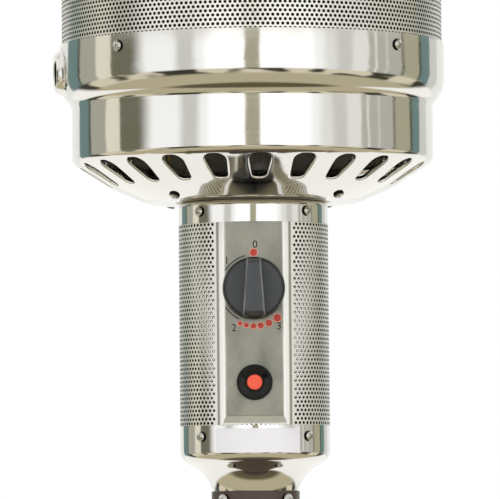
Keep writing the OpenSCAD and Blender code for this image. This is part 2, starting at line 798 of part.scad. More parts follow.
module outlet_tube() {
  color(alloy) on_pole() difference() {
    union() {
      translate([0, 0, tube_z0]) cylinder(r = 5, h = orifice_z - tube_z0 - seat);
      translate([0, 0, tube_z0]) cylinder(r = 8.5, h = 9, $fn = 6);
    }
    translate([0, 0, tube_z0 - eps]) cylinder(r = 4, h = orifice_z);
  }
}

module burner_orifice() {
  color(brass) on_pole() difference() {
    union() {
      translate([0, 0, orifice_z]) cylinder(r = 8, h = 8, $fn = 6);
      translate([0, 0, orifice_z + 8 - eps]) cylinder(r1 = 6, r2 = 3.5, h = 10);
    }
    translate([0, 0, orifice_z - eps]) cylinder(r = 4, h = 7);
    translate([0, 0, orifice_z]) cylinder(r = 0.9, h = 30);
  }
}

// Places a piece on the bowl, which is turned on the housing
module on_bowl() {
  on_pole() rotate([0, 0, bowl_turn]) children();
}

// Places a piece square to the dish at an angle, pointing down and out
module on_dish(angle, r) {
  rotate([0, 0, angle]) translate([r, 0, dish_z(r)]) rotate([0, 180 - dish_slope, 0]) children();
}

dish_screw_r = 78;
bowl_angles = [45:90:315];

module vent_slot() {
  translate([0, 0, bowl_foot_z]) linear_extrude(60) polygon(rounded_loop([
    [slot_r0, -slot_w0 / 2, 4], [slot_r1, -slot_w1 / 2, 6],
    [slot_r1, slot_w1 / 2, 6], [slot_r0, slot_w0 / 2, 4]]));
}

// Spun bowl: two bands, a roll between them, a slotted dish and an embossed lighting port
module burner_bowl() {
  color(steel) on_bowl() difference() {
    union() {
      spun([[throat_r + 2, bowl_foot_z], [dish_flat_r, bowl_foot_z, foot_fillet],
        [dish_knee_r, dish_z(dish_knee_r), knee_fillet], [band2_r, dish_edge_z, dish_fillet],
        [band2_r, roll_z2, roll_fillet_2], [band1_r, roll_z1, roll_fillet_1],
        [band1_r, bowl_rim_z]], sheet_t);
      outward(port_turn, port_z) translate([0, 0, band1_r - 1.6])
        cylinder(r1 = port_r + 6.2, r2 = port_r + 1.4, h = 6.2);
    }
    outward(port_turn, port_z) translate([0, 0, band1_r - 2.8])
      cylinder(r1 = port_r + 6, r2 = port_r, h = 6.4);
    outward(port_turn, port_z) translate([0, 0, band1_r - 20]) cylinder(r = port_r, h = 40);
    for (i = [0:slot_count - 1]) rotate([0, 0, 270 + 360 * i / slot_count]) vent_slot();
    for (a = bowl_angles) {
      outward(a, band_screw_z) translate([0, 0, band1_r - 10]) cylinder(r = m4_r + clear, h = 20);
      on_dish(a, dish_screw_r) translate([0, 0, -10]) cylinder(r = m4_r + clear, h = 20);
    }
  }
}

module dish_screws() {
  color(steel) on_bowl() for (a = bowl_angles)
    on_dish(a, dish_screw_r) translate([0, 0, seat]) screw(m4_r, m4_head_r, m4_head_h, 5);
}

module band_screws() {
  color(steel) on_bowl() for (a = bowl_angles)
    outward(a, band_screw_z) translate([0, 0, band1_r + seat]) screw(m4_r, m4_head_r + 0.4, m4_head_h, 6);
}

pan_lift = sheet_t / cos(dish_slope) + seat;

// Carrier plate: its outer flange lies on the dish, where the dish screws hold it
module burner_pan() {
  flange_r = dish_screw_r - 5;
  color(satin) on_bowl() difference() {
    spun([[pan_r0, pan_z], [pan_knee_r, pan_z, 3], [flange_r, dish_z(flange_r) + pan_lift, 3],
      [pan_r1, dish_z(pan_r1) + pan_lift]], pan_t);
    for (a = bowl_angles)
      on_dish(a, dish_screw_r) translate([0, 0, -10]) cylinder(r = m4_r + clear, h = 20);
    rotate([0, 0, pilot_angle]) translate([pilot_rise_r, 0, pan_z - eps])
      cylinder(r = pilot_tube_r + 1, h = 4);
  }
}

module venturi_tube() {
  z0 = pan_z + pan_t + seat;
  color(satin) on_pole() difference() {
    union() {
      translate([0, 0, z0]) tube(venturi_r - venturi_t, venturi_r, burner_z - z0 - seat);
      translate([0, 0, z0]) tube(venturi_r - venturi_t, venturi_r + 9, 2);
    }
    for (a = [0, 90]) rotate([0, 0, a]) translate([-30, -7, z0 + 8]) cube([60, 14, 16]);
  }
}

// A drum with ports round its side and an open foot over the venturi
module burner_head() {
  ports = 36;
  inner_r = burner_r - burner_t;
  inner_h = burner_h - 2 * burner_t;
  color(satin) on_pole() translate([0, 0, burner_z]) difference() {
    rotate_extrude() polygon(rounded([[0, 0], [burner_r, 0, 3], [burner_r, burner_h, 5], [0, burner_h]]));
    translate([0, 0, burner_t]) rotate_extrude()
      polygon(rounded([[0, 0], [inner_r, 0, 2], [inner_r, inner_h, 4], [0, inner_h]]));
    translate([0, 0, -eps]) cylinder(r = venturi_r - venturi_t, h = 3);
    for (i = [0:ports - 1]) outward(360 * i / ports, burner_h / 2) translate([0, 0, burner_r - 6])
      cylinder(r = 2, h = 12);
  }
}

pilot_z = burner_z - 4;
pilot_port_z = pilot_z - 20;
pilot_jet_r = 5;
probe_r = 2.5;
probe_y = 11;
probe_foot = pilot_z - 34;
tab_z = pilot_z - 10;

// A round tube along a path of [x, z] points with square bends
module bent_tube(path, r, bend) {
  last = len(path) - 1;
  for (i = [0:last - 1]) {
    along = unit(path[i + 1] - path[i]);
    from = path[i] + (i == 0 ? 0 : bend) * along;
    to = path[i + 1] - (i == last - 1 ? 0 : bend) * along;
    translate([from[0], 0, from[1]]) rotate([0, 90 - atan2(along[1], along[0]), 0])
      cylinder(r = r, h = norm(to - from));
  }
  for (i = [1:last - 1]) {
    u = unit(path[i - 1] - path[i]);
    v = unit(path[i + 1] - path[i]);
    centre = path[i] + bend * (u + v);
    half_way = atan2(-u[1] - v[1], -u[0] - v[0]);
    translate([centre[0], 0, centre[1]]) rotate([90, 0, 0]) rotate([0, 0, half_way - 45])
      rotate_extrude(angle = 90) translate([bend, 0]) circle(r = r);
  }
}

// Rigid tube from the valve's side port up through the burner pan to the pilot burner
module pilot_tube() {
  cross_z = pan_z - 9;
  color(alloy) on_bowl() rotate([0, 0, pilot_angle]) bent_tube([
    [pilot_feed_r, knob_z + pilot_boss_top + seat], [pilot_feed_r, cross_z], [pilot_rise_r, cross_z],
    [pilot_rise_r, pilot_port_z], [pilot_r - pilot_jet_r - seat, pilot_port_z]], pilot_tube_r, 8);
}

// Pilot burner on a strap that stands on the burner pan
module pilot_burner() {
  stand = pan_z + pan_t + seat;
  strap_x = pan_knee_r - 6;
  strap_z = pilot_port_z - 6;
  color(brass) on_bowl() rotate([0, 0, pilot_angle]) difference() {
    union() {
      translate([pilot_r, 0, pilot_z - 30]) cylinder(r = pilot_jet_r, h = 36);
      translate([pilot_r - 5, -probe_y - 5, tab_z]) cube([10, 2 * probe_y + 10, 2]);
      translate([strap_x - 6, 2, stand]) cube([8, 6, 2]);
      translate([strap_x, 2, stand]) cube([2, 6, strap_z + 2 - stand]);
      translate([strap_x, 2, strap_z]) cube([pilot_r - strap_x, 6, 2]);
    }
    translate([pilot_r, 0, pilot_port_z]) cylinder(r = 3, h = 40);
    for (s = [-1, 1]) translate([pilot_r, s * probe_y, tab_z - 2]) cylinder(r = probe_r + clear, h = 6);
  }
}

module thermocouple() {
  color(brass) on_bowl() rotate([0, 0, pilot_angle]) translate([pilot_r, probe_y, 0]) {
    translate([0, 0, probe_foot]) cylinder(r = probe_r, h = 44);
    translate([0, 0, tab_z - seat - 6]) cylinder(r = 4.5, h = 6, $fn = 6);
  }
}

module spark_electrode() {
  ceramic_l = 34;
  color(white) on_bowl() rotate([0, 0, pilot_angle]) translate([pilot_r, -probe_y, 0]) {
    translate([0, 0, probe_foot]) cylinder(r = probe_r, h = ceramic_l);
    translate([0, 0, tab_z - seat - 10]) cylinder(r = 4, h = 10);
    translate([0, 0, probe_foot + ceramic_l - eps]) cylinder(r = 0.9, h = 12);
  }
}

// Perforated tube in flat strips, plain at its foot, held in the bowl by the band screws
module emitter_screen() {
  step = 360 / screen_sides;
  pitch = emitter_h / (screen_rows + 1);
  h = screen_z1 - screen_z0;
  color(steel) on_bowl() difference() {
    translate([0, 0, screen_z0]) linear_extrude(h) polygon(flats(screen_r, screen_sides));
    translate([0, 0, screen_z0 - eps]) linear_extrude(h + 2 * eps)
      polygon(flats(screen_r - screen_t, screen_sides));
    for (i = [0:screen_sides - 1]) for (k = [1:screen_rows - i % 2])
      outward(step * i, bowl_rim_z + pitch * (k + 0.5 * (i % 2))) translate([0, 0, screen_r - 5])
        cylinder(r = screen_hole_r, h = 10, $fn = 24);
    for (a = bowl_angles)
      outward(a, band_screw_z) translate([0, 0, screen_r - 10]) cylinder(r = m4_r + clear, h = 20);
    outward(port_turn, port_z) translate([0, 0, screen_r - 10]) cylinder(r = port_r + 7, h = 20);
  }
}

module emitter_lid() {
  rim_r = band1_r + 0.3;
  color(steel) on_bowl() difference() {
    spun([[rim_r, screen_z1 - 12], [rim_r, lid_top, 1.3], [0, lid_top]], lid_t);
    at_posts() translate([0, 0, screen_z1 - eps]) cylinder(r = m6_r + clear, h = 6);
  }
}

module at_posts() {
  for (a = [30, 150, 270]) rotate([0, 0, a]) translate([post_ring_r, 0, 0]) children();
}

module reflector_posts() {
  color(steel) on_bowl() at_posts() {
    translate([0, 0, lid_top + seat]) cylinder(r = 6, h = post_h, $fn = 6);
    translate([0, 0, screen_z1 - 8]) cylinder(r = m6_r, h = crown_z + 22 - screen_z1 + 8);
  }
}

// Spun dome with a rolled rim
module reflector() {
  rim_z = crown_z - reflector_drop;
  bead_r = 3;
  color(alloy) on_bowl() difference() {
    union() {
      spun([[0, crown_z], [150, crown_z, 160], [reflector_r - 36, crown_z - 62, 130],
        [reflector_r - bead_r, rim_z + bead_r]], reflector_t);
      translate([0, 0, rim_z + bead_r]) rotate_extrude() translate([reflector_r - bead_r, 0])
        circle(r = bead_r, $fn = 32);
    }
    at_posts() translate([0, 0, crown_z - eps]) cylinder(r = m6_r + clear, h = 6);
  }
}

washer_t = 1.4;

module reflector_washers() {
  color(steel) on_bowl() at_posts() translate([0, 0, crown_z + reflector_t + seat])
    tube(m6_r + clear, 9, washer_t);
}

module wing_nuts() {
  z0 = crown_z + reflector_t + washer_t + 2 * seat;
  color(steel) on_bowl() at_posts() translate([0, 0, z0]) difference() {
    union() {
      cylinder(r1 = 6.5, r2 = 5, h = 7);
      for (s = [0, 180]) rotate([0, 0, s]) translate([3.5, -1.25, 3]) rotate([90, 0, 0]) mirror([0, 0, 1])
        linear_extrude(2.5) polygon(rounded_loop([[0, 0, 0], [6, 0, 2], [12, 9, 3], [6, 11, 3], [0, 4, 0]]));
    }
    translate([0, 0, -eps]) cylinder(r = m6_r + run_clear, h = 8);
  }
}

base_plate();
support_leg_rear();
support_leg_left();
support_leg_right();
leg_foot_bolts();
leg_top_bolts();
pole_socket();
pole();
pole_bolts();
tank_shell();
tank_top();
tank_screws();
pole_collar();
wheel_bracket();
bracket_bolts();
axle();
wheel_left();
wheel_right();
axle_caps();
neck_cup();
housing_wrap();
housing_cap();
housing_screws();
control_panel();
gas_valve();
valve_screws();
valve_plug();
valve_stem();
stem_spring();
control_knob();
igniter_body();
igniter_nut();
igniter_button();
igniter_spring();
tilt_bracket();
tilt_switch();
inlet_fitting();
outlet_tube();
burner_orifice();
burner_bowl();
dish_screws();
band_screws();
burner_pan();
venturi_tube();
burner_head();
pilot_tube();
pilot_burner();
thermocouple();
spark_electrode();
emitter_screen();
emitter_lid();
reflector_posts();
reflector();
reflector_washers();
wing_nuts();
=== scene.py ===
"""Looks of a free-standing gas patio heater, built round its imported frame.

Metres, +Z up, controls face -Y. The main view is a close one of the heater's head.
"""
import json
import math

import bpy
from mathutils import Matrix, Vector


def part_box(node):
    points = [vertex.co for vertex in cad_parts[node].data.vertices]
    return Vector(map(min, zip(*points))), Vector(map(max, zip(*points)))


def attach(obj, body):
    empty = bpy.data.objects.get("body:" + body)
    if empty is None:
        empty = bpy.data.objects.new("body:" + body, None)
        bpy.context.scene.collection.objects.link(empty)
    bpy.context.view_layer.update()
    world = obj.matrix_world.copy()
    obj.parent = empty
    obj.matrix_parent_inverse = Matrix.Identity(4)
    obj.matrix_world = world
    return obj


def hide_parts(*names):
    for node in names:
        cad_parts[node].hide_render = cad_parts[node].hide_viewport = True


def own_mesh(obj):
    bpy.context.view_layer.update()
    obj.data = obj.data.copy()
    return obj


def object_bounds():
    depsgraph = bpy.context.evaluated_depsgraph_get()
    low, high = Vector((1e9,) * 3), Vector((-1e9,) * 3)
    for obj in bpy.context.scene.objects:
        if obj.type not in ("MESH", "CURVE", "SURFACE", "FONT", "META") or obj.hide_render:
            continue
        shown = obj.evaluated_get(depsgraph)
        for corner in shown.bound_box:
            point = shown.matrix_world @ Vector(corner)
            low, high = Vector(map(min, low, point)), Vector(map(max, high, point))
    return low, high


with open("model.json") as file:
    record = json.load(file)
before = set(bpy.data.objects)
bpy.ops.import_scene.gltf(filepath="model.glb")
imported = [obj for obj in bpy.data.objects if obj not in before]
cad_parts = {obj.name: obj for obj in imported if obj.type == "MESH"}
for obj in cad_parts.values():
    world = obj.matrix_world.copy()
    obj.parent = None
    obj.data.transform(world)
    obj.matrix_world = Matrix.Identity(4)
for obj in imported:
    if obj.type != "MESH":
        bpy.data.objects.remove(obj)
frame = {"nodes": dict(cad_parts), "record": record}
cad_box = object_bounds()
nodes = frame["nodes"]
MM = 0.001

# Sizes that the head's pieces share, in metres
POLE_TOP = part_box("pole")[1].z
POLE_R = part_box("pole")[1].x
HOUSING_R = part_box("neck_cup")[1].x
WRAP_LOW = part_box("housing_wrap")[0].z
WRAP_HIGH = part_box("housing_wrap")[1].z
CAP_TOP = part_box("housing_cap")[1].z
BOWL_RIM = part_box("burner_bowl")[1].z
LID_OVERHANG = 0.3 * MM
BAND_STEP = 8 * MM
SCREEN_INSET = 1.4 * MM
BAND_1_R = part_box("emitter_lid")[1].x - LID_OVERHANG
BAND_2_R = BAND_1_R - BAND_STEP
SCREEN_R = BAND_1_R - SCREEN_INSET
SCREEN_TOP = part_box("emitter_screen")[1].z
PANEL_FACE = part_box("control_panel")[0].y
SHEET = 1 * MM
SEAT = 0.1 * MM
BOWL_TURN = math.radians(2.5)
KNOB_Z = POLE_TOP + 136 * MM


# Outlines

def rounded(points, step=math.radians(6)):
    """A path of (r, z) or (r, z, fillet) points with its corners rounded by arcs."""
    path = [Vector(points[0][:2])]
    for before, here, after in zip(points, points[1:], points[2:]):
        corner = Vector(here[:2])
        fillet = here[2] if len(here) > 2 else 0
        if not fillet:
            path.append(corner)
            continue
        u = (Vector(before[:2]) - corner).normalized()
        v = (Vector(after[:2]) - corner).normalized()
        half = u.angle(v) / 2
        centre = corner + (u + v).normalized() * fillet / math.sin(half)
        arm = corner + u * fillet / math.tan(half) - centre
        sweep = (corner + v * fillet / math.tan(half) - centre).angle_signed(arm)
        count = max(2, math.ceil(abs(sweep) / step))
        for i in range(count + 1):
            path.append(centre + Matrix.Rotation(sweep * i / count, 2) @ arm)
    path.append(Vector(points[-1][:2]))
    return supported(path)


def supported(path):
    """The path with a point near both ends of each long straight run, which keeps its shading flat."""
    inset = 0.4 * MM
    found = path[:1]
    for p, q in zip(path, path[1:]):
        if (q - p).length > 6 * inset:
            found += [p + (q - p).normalized() * inset, q - (q - p).normalized() * inset]
        found.append(q)
    return found


def normals(path):
    """The unit normals on the left of a path's direction of travel."""
    found = []
    for i in range(len(path)):
        along = path[min(i + 1, len(path) - 1)] - path[max(i - 1, 0)]
        along.normalize()
        found.append(Vector((-along.y, along.x)))
    return found


def ribbon(path, thickness):
    """A closed outline: the path, and the path moved to the left by a thickness."""
    inner = [p + n * thickness for p, n in zip(path, normals(path))]
    return path + inner[::-1]


# Meshes

def make_piece(name, verts, faces, material, smooth_angle=32, inner=None, inner_faces=()):
    """A mesh object, smooth except across edges sharper than an angle in degrees.
    The faces listed as inner ones take the inner material."""
    mesh = bpy.data.meshes.new(name)
    mesh.from_pydata(verts, [], faces)
    mesh.polygons.foreach_set("use_smooth", [True] * len(mesh.polygons))
    mesh.set_sharp_from_angle(angle=math.radians(smooth_angle))
    mesh.materials.append(material)
    if inner:
        mesh.materials.append(inner)
        for i in inner_faces:
            mesh.polygons[i].material_index = 1
    piece = bpy.data.objects.new(name, mesh)
    bpy.context.scene.collection.objects.link(piece)
    return piece


def dress(piece, slot, *replaced, body="root"):
    """Says what a new piece rides on and hides the parts it stands for. The slot argument is not used."""
    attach(piece, body)
    if replaced:
        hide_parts(*replaced)
    return piece


def turned(r, angle, z):
    """A point at a radius, an angle round the Z axis and a height."""
    return (r * math.cos(angle), r * math.sin(angle), z)


def spin(outline, segments=180, closed=True):
    """Vertices and faces of an outline of (r, z) points turned about the Z axis."""
    verts, faces, rings = [], [], []
    for r, z in outline:
        if r < 1e-6:
            rings.append([len(verts)] * segments)
            verts.append((0, 0, z))
            continue
        rings.append(list(range(len(verts), len(verts) + segments)))
        verts += [turned(r, 2 * math.pi * i / segments, z) for i in range(segments)]
    pairs = list(zip(rings, rings[1:]))
    if closed:
        pairs.append((rings[-1], rings[0]))
    for low, high in pairs:
        for i in range(segments):
            k = (i + 1) % segments
            face = list(dict.fromkeys((low[i], low[k], high[k], high[i])))
            if len(face) > 2:
                faces.append(face)
    return verts, faces


def loft(count, sides):
    """Faces of a closed solid, for vertices that are a count of sections with this many sides."""
    faces = []
    last = (count - 1) * sides
    for start in range(0, last, sides):
        for j in range(sides):
            a, b = start + j, start + (j + 1) % sides
            faces.append((a, b, b + sides, a + sides))
    return faces + [tuple(range(sides - 1, -1, -1)), tuple(range(last, last + sides))]


def join(*parts):
    """The vertices and faces of several meshes as one."""
    verts, faces = [], []
    for part, part_faces in parts:
        faces += [[v + len(verts) for v in face] for face in part_faces]
        verts += part
    return verts, faces


def head_path(points):
    """Millimetres above the pole's top, as metres in the frame."""
    return [(p[0] * MM, POLE_TOP + p[1] * MM, *(f * MM for f in p[2:])) for p in points]


# Materials

def tone(red, green, blue):
    """A display colour from 0 to 255, as linear light."""
    def linear(value):
        value /= 255
        return value / 12.92 if value <= 0.04045 else ((value + 0.055) / 1.055) ** 2.4
    return (linear(red), linear(green), linear(blue), 1)


class Graph:
    """A node tree, and helpers that add nodes to it. An input is a value or another node's output."""

    def __init__(self, tree):
        self.tree = tree

    def feed(self, socket, value):
        """Sets a socket to a value, or links it to an output."""
        if isinstance(value, bpy.types.NodeSocket):
            self.tree.links.new(value, socket)
        else:
            socket.default_value = value

    def add(self, kind, inputs=None, **settings):
        """A new node with its settings, and its inputs by name or number."""
        node = self.tree.nodes.new("ShaderNode" + kind)
        for name, value in settings.items():
            setattr(node, name, value)
        for key, value in (inputs or {}).items():
            self.feed(node.inputs[key], value)
        return node

    def mix(self, first, second, factor):
        """A colour between two others."""
        inputs = {"A": first, "B": second, "Factor": factor}
        return self.add("Mix", inputs, data_type="RGBA").outputs["Result"]

    def spread(self, source, start, end, low=0.0, high=1.0, kind="LINEAR"):
        """A number that goes from low to high as the source goes from start to end."""
        inputs = {"Value": source, "From Min": start, "From Max": end, "To Min": low, "To Max": high}
        return self.add("MapRange", inputs, interpolation_type=kind).outputs["Result"]

    def calc(self, operation, *values):
        """The result of a sum with numbers."""
        return self.add("Math", dict(enumerate(values)), operation=operation).outputs[0]

    def vector(self, operation, *values):
        """The outputs of a sum with vectors."""
        return self.add("VectorMath", dict(enumerate(values)), operation=operation).outputs


NOISE_MIDDLE = (0.3, 0.7)
EVEN = (1, 1, 1)


class Finish(Graph):
    """A material with one Principled shader, and helpers that drive its sockets by noise."""

    def __init__(self, name, metallic=0.0):
        self.material = bpy.data.materials.new(name)
        self.material.use_nodes = True
        super().__init__(self.material.node_tree)
        self.shader = self.tree.nodes["Principled BSDF"]
        self.place = self.add("TexCoord").outputs["Object"]
        self.set("Metallic", metallic)

    def set(self, name, value):
        """Sets or drives one of the shader's sockets."""
        self.feed(self.shader.inputs[name], value)

    def noise(self, scale, stretch=EVEN, detail=3.0):
        """Noise of a scale per metre, stretched along the axes."""
        place = self.add("Mapping", {"Vector": self.place, "Scale": stretch}).outputs["Vector"]
        return self.add("TexNoise", {"Vector": place, "Scale": scale, "Detail": detail}).outputs["Fac"]

    def colour(self, first, second, source):
        """Base colour between two tones."""
        self.set("Base Color", self.mix(first, second, source))

    def roughness(self, low, high, source):
        """Roughness between two values."""
        self.set("Roughness", self.spread(source, *NOISE_MIDDLE, low, high))

    def bump(self, depth, source):
        """Relief of a depth in metres."""
        relief = self.add("Bump", {"Strength": 1.0, "Distance": depth, "Height": source})
        self.set("Normal", relief.outputs["Normal"])


# Kinds of surface: how metallic they are, how deep their relief is in metres, and the noise behind their
# colour, their roughness and their relief, as a scale per metre, a stretch along the axes and a detail
KINDS = {
    # Mirror-polished sheet with faint rolling waves
    "polished": (1.0, 0.3 * MM, (18,), (7, (1, 1, 60)), (26, EVEN, 1.0)),
    # Satin sheet with a vertical grain
    "brushed": (1.0, 0.02 * MM, (60, (18, 18, 0.5)), (30, (1, 1, 0.4)), (60, (18, 18, 0.5))),
    # Semi-matte paint with a fine orange-peel surface
    "painted": (0.0, 0.08 * MM, (14,), (45,), (700, EVEN, 1.0)),
    # Plastic or print with a fine moulded texture
    "moulded": (0.0, 0.04 * MM, (60,), (120,), (900, EVEN, 1.0)),
    # Machined or cast metal with a faint grain
    "cast": (1.0, 0.03 * MM, (80,), (160,), (500, EVEN, 1.0)),
}


def surface(name, kind, first, second, low, high, depth=None, specular=0.5):
    """A surface of a kind, with its colour between two tones and its roughness between two values."""
    metallic, usual_depth, patches, spots, relief = KINDS[kind]
    finish = Finish(name, metallic)
    finish.set("Specular IOR Level", specular)
    finish.colour(tone(*first), tone(*second), finish.noise(*patches))
    finish.roughness(low, high, finish.noise(*spots))
    finish.bump(depth or usual_depth, finish.noise(*relief))
    return finish.material


def panel_steel(name):
    """Satin sheet, mottled on its face, with its folded edges painted bright as a highlight and darkened by
    painted shade towards the seams.
    """
    finish = Finish(name, metallic=1.0)
    normal = finish.add("SeparateXYZ", {0: finish.add("TexCoord").outputs["Normal"]})
    place = finish.add("SeparateXYZ", {0: finish.place})
    mottle = finish.noise(70, (1, 1, 0.6), 5.0)
    facing = finish.spread(normal.outputs["Y"], -0.85, -0.99)
    # Painted shade: the folds darken with depth towards the seams
    painted_seam_shade = finish.spread(place.outputs["Y"], PANEL_FACE + 4.8 * MM, PANEL_FACE + 6.6 * MM)
    face = finish.mix(tone(184, 184, 175), tone(104, 104, 95), mottle)
    # Painted highlight: a bright non-metallic tone on the folds, blending into the painted shade
    painted_fold_highlight_and_shade = finish.mix(tone(228, 228, 225), tone(132, 132, 125), painted_seam_shade)
    finish.colour(painted_fold_highlight_and_shade, face, facing)
    finish.set("Metallic", facing)
    finish.roughness(0.26, 0.4, mottle)
    finish.bump(0.04 * MM, finish.noise(150, detail=4.0))
    return finish.material


def knob_plastic(name):
    """Slate plastic, painted black as shade round the knob's rim and at the ends of its grip."""
    finish = Finish(name)
    offset = finish.vector("MULTIPLY_ADD", finish.place, (1, 0, 1), (0, 0, -KNOB_Z))["Vector"]
    # Painted shade: black from 17.8 mm outward from the knob's axis
    rim = finish.spread(finish.vector("LENGTH", offset)["Value"], 17.8 * MM, 19.6 * MM)
    finish.colour(tone(52, 55, 59), tone(6, 6, 7), rim)
    finish.roughness(0.27, 0.5, rim)
    finish.bump(0.04 * MM, finish.noise(900, detail=1.0))
    return finish.material


FINISHES = {name: surface(name, *values) for name, *values in (
    ("mocha_paint", "painted", (63, 49, 43), (55, 42, 37), 0.36, 0.5),
    ("polished_steel", "polished", (226, 225, 222), (220, 219, 215), 0.05, 0.1),
    ("satin_steel", "brushed", (176, 174, 168), (150, 148, 141), 0.24, 0.36),
    ("fastener_steel", "cast", (206, 205, 202), (186, 185, 180), 0.06, 0.12),
    ("black_plastic", "moulded", (16, 16, 18), (10, 10, 11), 0.1, 0.18, None, 0.3),
    ("red_plastic", "moulded", (214, 80, 54), (204, 72, 48), 0.3, 0.4),
    ("brass", "cast", (214, 178, 108), (190, 152, 84), 0.2, 0.32),
    ("cast_alloy", "cast", (196, 198, 202), (172, 174, 178), 0.3, 0.45),
    ("reflector_aluminium", "polished", (226, 225, 222), (220, 219, 215), 0.16, 0.26, 0.2 * MM),
    ("electrode_ceramic", "moulded", (238, 234, 226), (228, 223, 213), 0.2, 0.3),
    # These are for new pieces and for single nodes, and aren't slots of the record
    ("perforated_steel", "polished", (236, 234, 229), (228, 226, 220), 0.24, 0.34, 0.05 * MM),
    ("wrap_steel", "brushed", (246, 245, 240), (226, 225, 219), 0.32, 0.42),
    ("bowl_inside_steel", "cast", (226, 222, 211), (206, 202, 190), 0.45, 0.6),
    # Painted shade: a dark steel for hole backs, the port's lip and the rings round screw heads
    ("painted_shade_steel", "cast", (44, 42, 38), (30, 29, 26), 0.55, 0.7),
    # Painted highlight for the edges of the knob's grip
    ("painted_knob_edge_highlight", "moulded", (114, 117, 120), (40, 42, 46), 0.3, 0.4),
    ("dial_ink", "moulded", (176, 56, 46), (160, 46, 40), 0.4, 0.5),
    ("halo_ink", "moulded", (226, 148, 120), (214, 136, 110), 0.4, 0.5),
    ("label_paper", "moulded", (206, 205, 208), (200, 199, 203), 0.3, 0.4),
)}
FINISHES["knob_plastic"] = knob_plastic("knob_plastic")
FINISHES["panel_steel"] = panel_steel("panel_steel")
PAINTED_SHADE = FINISHES["painted_shade_steel"]

SPECIAL = {"control_panel": "panel_steel", "burner_pan": "bowl_inside_steel"}
for row in frame["record"]["subparts"]:
    held = nodes[row["node"]].data.materials
    held.clear()
    held.append(FINISHES[SPECIAL.get(row["node"], row["material_slot"])])


# Neck cup and housing cap

NECK_FLARE = ((28.1, -40), (28.1, 9, 27), (51, 22.5, 9), (51, 44.4))
NECK_RING = ((48.9, 40), (49.9, 40), (49.9, 44.65), (48.9, 44.65))
CAP_EDGE = 4 * MM
CAP_HOLE_R = 30 * MM


def neck_cup():
    """The flared cup, with a ring inside its rim that shuts the joint under the panel's foot."""
    flare = spin(ribbon(rounded(head_path(NECK_FLARE), math.radians(1.2)), SHEET))
    verts, faces = join(flare, spin(head_path(NECK_RING)))
    piece = make_piece("neck_cup_sheet", verts, faces, FINISHES["polished_steel"])
    dress(piece, "polished_steel", "neck_cup")


def housing_cap():
    """The upper band of the control housing, folded in at its top."""
    path = [(HOUSING_R, WRAP_HIGH + SEAT), (HOUSING_R, CAP_TOP, CAP_EDGE), (CAP_HOLE_R, CAP_TOP)]
    verts, faces = spin(ribbon(rounded(path), SHEET))
    piece = make_piece("housing_cap_sheet", verts, faces, FINISHES["polished_steel"])
    dress(piece, "polished_steel", "housing_cap")


neck_cup()
housing_cap()


# Burner bowl: a spun shell with windows for the vent slots and the lighting port

